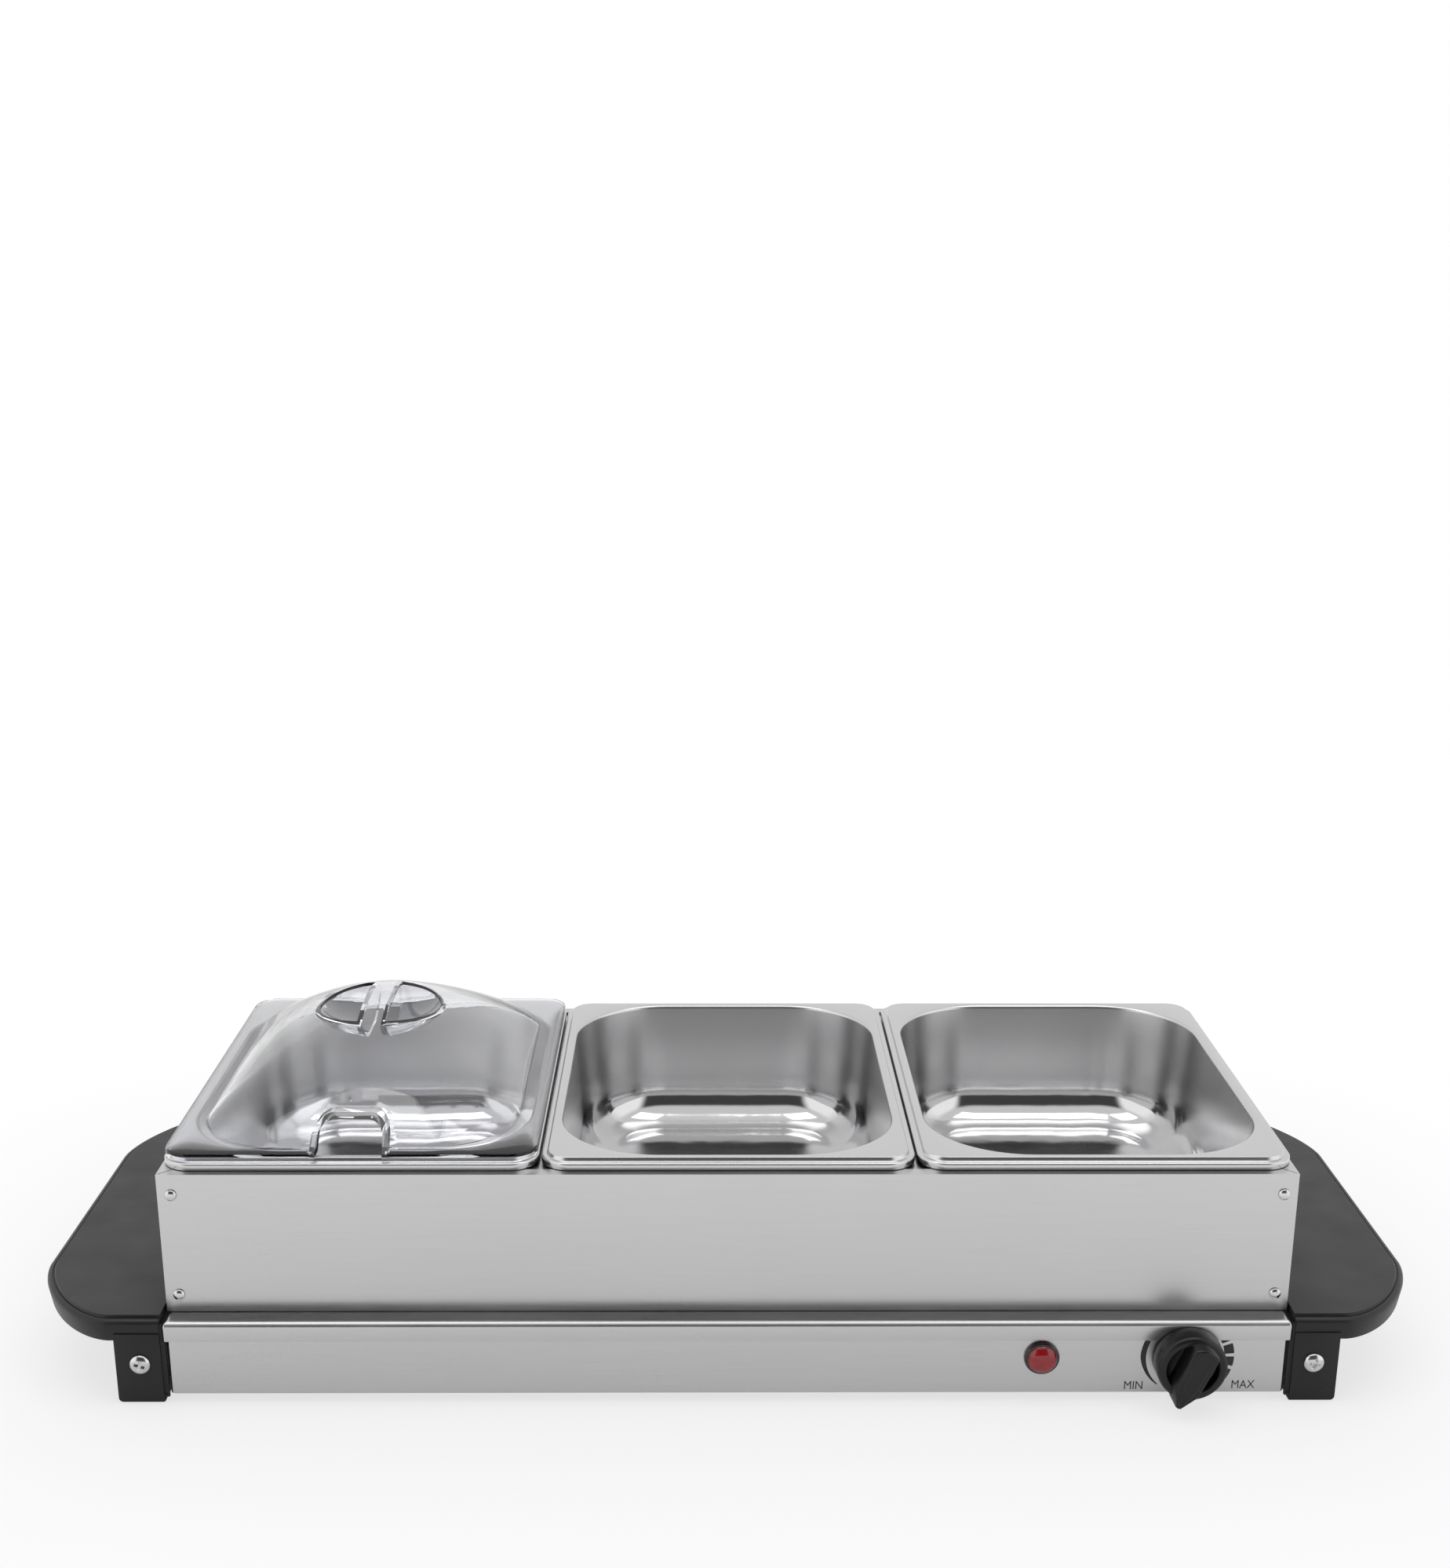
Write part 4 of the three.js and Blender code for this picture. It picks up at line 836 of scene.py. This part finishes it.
def make_rivet(node):
    low, high = box_mm(node)
    way = -1 if low.y < 0 else 1
    radius = (high.x - low.x) / 2
    head = low.y if way < 0 else high.y
    face = head - way * RIVET_HEAD
    centre = ((low.x + high.x) / 2, face, (low.z + high.z) / 2)
    profile = [(0.05, -3.5), (2.3, -3.5), (2.3, -2.5), (1.5, -2.5), (1.5, 0), (radius, 0), (radius, 0.25)]
    for step in range(1, 9):
        angle = math.radians(90 * step / 8)
        profile.append((max(radius * math.cos(angle), 0.05), 0.25 + 1.15 * math.sin(angle)))
    rivet = shade(turned_to_front(f"{node}_body", profile, centre, 32, way), 40)
    put(rivet, "frame", "polished_stainless", STEEL_POLISHED, node)


# ---- control, lamp and scale ----

PANEL_Y = box_mm("base_shell")[0].y
CONTROL = (204.5, PANEL_Y, 22.0)
KNOB_REST_ANGLE = 24.0
INK_THICKNESS = 0.05
INK_GAP = 0.01


def make_knob():
    """A round skirt with a stepped face and a wide grip bar that ends in a pointer."""
    x0, y0, z0 = CONTROL
    skirt = [(0.05, 5.0), (10, 5.0), (10, 1.4), (15.2, 1.4), (15.5, 1.7), (15.5, 10.0), (15.35, 10.9)]
    skirt += [(14.9, 11.6), (14.2, 12.0), (13.4, 12.2), (12.0, 12.2), (11.6, 11.9), (11.4, 11.3)]
    skirt += [(11.2, 7.6), (0.05, 7.4)]
    knob = turned_to_front("control_knob_body", skirt, CONTROL, 72)

    def bar_outline(half, rear, tip, y):
        points = []
        for step in range(13):
            share = -1 + 2 * step / 12
            points.append((x0 + half * share, y, z0 + rear - 2.2 * share * share))
        points += [(x0 + half, y, z0 - tip + 8.4), (x0 + 1.0, y, z0 - tip + 0.3)]
        points += [(x0, y, z0 - tip), (x0 - 1.0, y, z0 - tip + 0.3), (x0 - half, y, z0 - tip + 8.4)]
        return points

    rows = [
        bar_outline(6.4, 13.9, 18.0, y0 - 5.5),
        bar_outline(6.3, 13.7, 17.9, y0 - 8.2),
        bar_outline(5.9, 13.3, 17.5, y0 - 17.2),
        bar_outline(5.5, 12.9, 17.1, y0 - 18.2),
        bar_outline(5.0, 12.4, 16.5, y0 - 18.5),
        bar_outline(3.8, 11.3, 15.2, y0 - 18.4),
        bar_outline(3.5, 11.0, 14.8, y0 - 18.05),
        bar_outline(0.8, 8.6, 11.6, y0 - 18.05),
    ]
    combine(knob, loft("bar", rows), "UNION")
    bore = turned_to_front("bore", [(3.3, -1), (3.3, 12.3)], CONTROL, 32)
    combine(knob, bore, "DIFFERENCE")
    round_edges(knob, 0.25, 40)
    turn_about_y(knob, CONTROL, KNOB_REST_ANGLE)
    shade(knob, 30)
    put(knob, "control", "knob_plastic", BLACK_KNOB, "control_knob")


def make_lamp():
    low, high = box_mm("lamp_lens")
    radius = (high.x - low.x) / 2
    centre = ((low.x + high.x) / 2, PANEL_Y - 0.15, (low.z + high.z) / 2)
    neck, dome = 5.6, radius - 1.2
    dome_foot, dome_rise = 1.8, 3.1
    profile = [(0.05, -6), (neck, -6), (neck, 0), (radius, 0), (radius, 1.0)]
    profile += [(radius - 0.25, 1.5), (radius - 0.8, 1.75), (dome, dome_foot)]
    for step in range(1, 13):
        angle = math.radians(90 * step / 12)
        profile.append((max(dome * math.cos(angle), 0.05), dome_foot + dome_rise * math.sin(angle)))
    lens = shade(turned_to_front("lamp_lens_dome", profile, centre, 64), 35)
    put(lens, "base", "lamp_red", RED, "lamp_lens")


def printed_patch(name, plan):
    """A thin printed patch on the panel; the plan is [x, z] about the control's axis."""
    x0, y0, z0 = CONTROL
    back = y0 - INK_GAP
    patch = prism(name, [(x0 + x, z0 + z) for x, z in plan], back - INK_THICKNESS, back, axis="y")
    return put(patch, "base", "knob_plastic", INK)


def around(radius, degrees):
    """A point about the control's axis, at an angle from straight down, clockwise seen from the front."""
    angle = math.radians(degrees)
    return (-radius * math.sin(angle), -radius * math.cos(angle))


SCALE_RADIUS = 20.9
BAND_INNER = 18.4
BAND_TIP = 18.9  # the band's outer radius at its thin end
BAND_START, BAND_FULL, BAND_END = 43, 90, 115  # degrees: thin end, full width, cut off above
BLOCK_INNER = 16.5
BLOCKS = ((-48.6, -72.5), (-77.3, -90.4), (-95, -109), (-113.6, -122))


def make_scale():
    """A rising band on the left and four blocks on the right, cut off by the plate's edge above."""
    ceiling = box_mm("warming_plate")[0].z - CONTROL[2] - 0.2

    def patch(name, outer, inner):
        printed_patch(name, [(x, min(z, ceiling)) for x, z in outer + inner[::-1]])

    outer, inner = [], []
    for degrees in range(BAND_START, BAND_END + 1, 2):
        share = min((degrees - BAND_START) / (BAND_FULL - BAND_START), 1.0)
        outer.append(around(BAND_TIP + (SCALE_RADIUS - BAND_TIP) * share, degrees))
        inner.append(around(BAND_INNER, degrees))
    patch("scale_band", outer, inner)
    for index, (start, end) in enumerate(BLOCKS):
        turns = [start + (end - start) * step / 8 for step in range(9)]
        rim = [around(SCALE_RADIUS, degrees) for degrees in turns]
        hub = [around(BLOCK_INNER, degrees) for degrees in turns]
        patch(f"scale_block_{index + 1}", rim, hub)


def make_scale_words():
    """MIN and MAX under the scale's two ends, each fitted to its width and cap height."""
    cap_height = 4.0
    for word, x, z, width in (("MIN", 181.3, 7.9, 8.2), ("MAX", 230.5, 8.3, 10.3)):
        curve = bpy.data.curves.new(f"scale_word_{word.lower()}", "FONT")
        curve.body = word
        curve.size = 1.0
        curve.extrude = 0.01
        text = bpy.data.objects.new(curve.name, curve)
        bpy.context.scene.collection.objects.link(text)
        bpy.context.view_layer.update()
        graph = bpy.context.evaluated_depsgraph_get()
        mesh = bpy.data.meshes.new_from_object(text.evaluated_get(graph))
        name = curve.name
        bpy.data.objects.remove(text)
        bpy.data.curves.remove(curve)
        low = Vector(min(v.co[i] for v in mesh.vertices) for i in range(3))
        high = Vector(max(v.co[i] for v in mesh.vertices) for i in range(3))
        printed = Vector((width, cap_height, INK_THICKNESS)) * MM
        grow = Vector(wanted / found for wanted, found in zip(printed, high - low))
        mesh.transform(Matrix.Translation(-(low + high) / 2))
        mesh.transform(Matrix.Diagonal((*grow, 1.0)))
        mesh.transform(Matrix.Rotation(math.pi / 2, 4, "X"))
        middle = PANEL_Y - INK_GAP - INK_THICKNESS / 2
        mesh.transform(Matrix.Translation(Vector((x, middle, z)) * MM))
        mesh.name = name
        piece = bpy.data.objects.new(name, mesh)
        bpy.context.scene.collection.objects.link(piece)
        put(piece, "base", "knob_plastic", INK)


# ---- warming plate ----


def make_warming_plate():
    low, high = box_mm("warming_plate")
    half_x, half_y = (high.x - low.x) / 2, (high.y - low.y) / 2
    bend = 2.6
    corner = 1.2

    def row(inset, z):
        radius = max(corner - inset, 0.3)
        return rounded_outline(half_x - inset, half_y - inset, radius, z, 8, (0.0, BODY_Y))

    outer = []
    for step in range(9):
        angle = math.radians(90 * step / 8)
        outer.append(row(bend * (1 - math.cos(angle)), high.z - bend * (1 - math.sin(angle))))
    under = [row(bend + 1, high.z - SHEET), row(bend - 0.6, high.z - SHEET - 0.25)]
    under += [row(SHEET, high.z - bend), row(SHEET, low.z)]
    foot = [row(0.5, low.z), row(0.1, low.z + 0.15), row(0, low.z + 0.4)]
    plate = shade(loft("warming_plate_skin", under + foot + outer), 40)
    put(plate, "base", "brushed_stainless", STEEL_X, "warming_plate")


# ---- studio ----


FLOOR_HALF = 12000
FLOOR_WHITE = 1.02  # the even white that the camera mostly sees
FLOOR_EVEN = 0.62  # how much of it, over the floor's real shading
FLOOR_DIM, FLOOR_BRIGHT = 0.18, 0.46  # glow under the body, and away from it
FLOOR_FADE = 0.35  # metres from the dim patch to the full glow
DIM_PATCH = (0.25, 0.12, 0.0)  # half the dim patch's size, in metres


def make_floor():
    """A pale floor that glows less near the body. The camera sees it nearly even, with a soft shadow."""
    corners = [(x * FLOOR_HALF, y * FLOOR_HALF, 0) for x, y in ((-1, -1), (1, -1), (1, 1), (-1, 1))]
    floor = new_piece("studio_floor", corners, [(0, 1, 2, 3)])
    nodes = Nodes("studio_floor_white")
    nodes.set(Base_Color=(0.6, 0.6, 0.605, 1.0), Roughness=0.7)
    from_middle = nodes.vector_math("ABSOLUTE", nodes.place)
    past_patch = nodes.vector_math("SUBTRACT", from_middle, DIM_PATCH)
    outside = nodes.vector_math("MAXIMUM", past_patch, (0.0, 0.0, 0.0))
    gap = nodes.vector_math("LENGTH", outside)
    light = nodes.spread(gap, FLOOR_DIM, FLOOR_BRIGHT, 0.0, FLOOR_FADE)
    nodes.link(light, nodes.shader.inputs["Emission Strength"])
    nodes.set(Emission_Color=(1.0, 1.0, 1.0, 1.0))
    glow = nodes.add("ShaderNodeEmission")
    glow.inputs["Strength"].default_value = FLOOR_WHITE
    camera = nodes.add("ShaderNodeLightPath").outputs["Is Camera Ray"]
    mix = nodes.add("ShaderNodeMixShader")
    nodes.link(nodes.math("MULTIPLY", camera, FLOOR_EVEN), mix.inputs["Fac"])
    nodes.link(nodes.shader.outputs["BSDF"], mix.inputs[1])
    nodes.link(glow.outputs["Emission"], mix.inputs[2])
    nodes.link(mix.outputs["Shader"], nodes.output.inputs["Surface"])
    dress(floor, nodes.material)


def make_world():
    """White where it is seen. Reflections find it dark in front, and bright at the sides and above."""
    world = bpy.data.worlds.new("studio")
    world.use_nodes = True
    bpy.context.scene.world = world
    tree = world.node_tree
    back = tree.nodes["Background"]

    def ramp(source, start, end, low=0.0, high=1.0):
        node = tree.nodes.new("ShaderNodeMapRange")
        node.interpolation_type = "SMOOTHSTEP"
        tree.links.new(source, node.inputs["Value"])
        for name, value in (("From Min", start), ("From Max", end)):
            node.inputs[name].default_value = value
        for name, value in (("To Min", low), ("To Max", high)):
            if isinstance(value, (int, float)):
                node.inputs[name].default_value = value
            else:
                tree.links.new(value, node.inputs[name])
        return node.outputs["Result"]

    place = tree.nodes.new("ShaderNodeTexCoord")
    split = tree.nodes.new("ShaderNodeSeparateXYZ")
    tree.links.new(place.outputs["Generated"], split.inputs["Vector"])
    x, y, z = (split.outputs[axis] for axis in "XYZ")
    side = tree.nodes.new("ShaderNodeMath")
    side.operation = "ABSOLUTE"
    tree.links.new(x, side.inputs[0])
    dark, bright, back_level, overhead = 0.07, 1.25, 0.9, 0.85
    front = ramp(side.outputs["Value"], 0.42, 0.60, dark, bright)
    around_body = ramp(y, -0.10, 0.30, front, back_level)
    level = ramp(z, 0.68, 0.80, around_body, overhead)
    camera = tree.nodes.new("ShaderNodeLightPath").outputs["Is Camera Ray"]
    tree.links.new(ramp(camera, 0.0, 1.0, level, 1.0), back.inputs["Strength"])
    back.inputs["Color"].default_value = (1.0, 1.0, 1.0, 1.0)


def soft_box(name, position, target, size, watts):
    data = bpy.data.lights.new(name, "AREA")
    data.shape = "RECTANGLE"
    data.size, data.size_y = size
    data.energy = watts
    light = bpy.data.objects.new(name, data)
    bpy.context.scene.collection.objects.link(light)
    light.location = position
    light.rotation_euler = (Vector(target) - Vector(position)).to_track_quat("-Z", "Y").to_euler()


def make_lights():
    out, height, watts = 0.42, 1.5, 2.4
    for name, side in SIDES:
        place, target = (side * out, -0.05, height), (side * out / 2, 0.0, 0.0)
        soft_box(f"{name}_overhead_box", place, target, (0.5, 0.7), watts)


CAMERA_PLACE = (-0.0121, -0.9186, 0.4634)  # metres
CAMERA_ANGLES = (0.31249, 0.00869, -0.00273)  # tilt, heading and roll, in radians
FRAME_HEIGHT = 36.0
LENS = 46.4990991
SHIFT = (0.00455455, 0.11766767)  # in parts of the frame's height


def make_camera():
    """The camera's axes come from its heading, tilt and roll."""
    tilt, heading, roll = CAMERA_ANGLES
    right = Vector((math.cos(heading), -math.sin(heading), 0.0))
    level = Vector((math.sin(heading), math.cos(heading), 0.0))
    up = Vector((0.0, 0.0, 1.0))
    ahead = level * math.cos(tilt) - up * math.sin(tilt)
    down = -(up * math.cos(tilt) + level * math.sin(tilt))
    across = right * math.cos(roll) + down * math.sin(roll)
    below = -right * math.sin(roll) + down * math.cos(roll)
    turn = Matrix((across, -below, -ahead)).transposed().to_4x4()
    data = bpy.data.cameras.new("camera")
    data.sensor_fit = "VERTICAL"
    data.sensor_height = FRAME_HEIGHT
    data.lens = LENS
    data.shift_x, data.shift_y = SHIFT
    data.clip_start = 0.05
    camera = bpy.data.objects.new("camera", data)
    bpy.context.scene.collection.objects.link(camera)
    camera.matrix_world = Matrix.Translation(CAMERA_PLACE) @ turn
    bpy.context.scene.camera = camera


make_camera()
bpy.context.scene.view_settings.view_transform = "Standard"
make_world()
make_lights()
make_floor()
dress_cad_nodes()
make_warming_plate()
for pan_name in ("pan_left", "pan_middle", "pan_right"):
    make_pan(pan_name)
make_lid("lid_left")
for side_name, side in SIDES:
    make_handle(side_name, side)
    for end_name, _ in ENDS:
        make_handle_screw(f"handle_screw_{end_name}_{side_name}")
        for level in ("lower", "upper"):
            make_rivet(f"rivet_{end_name}_{side_name}_{level}")
make_knob()
make_lamp()
make_scale()
make_scale_words()
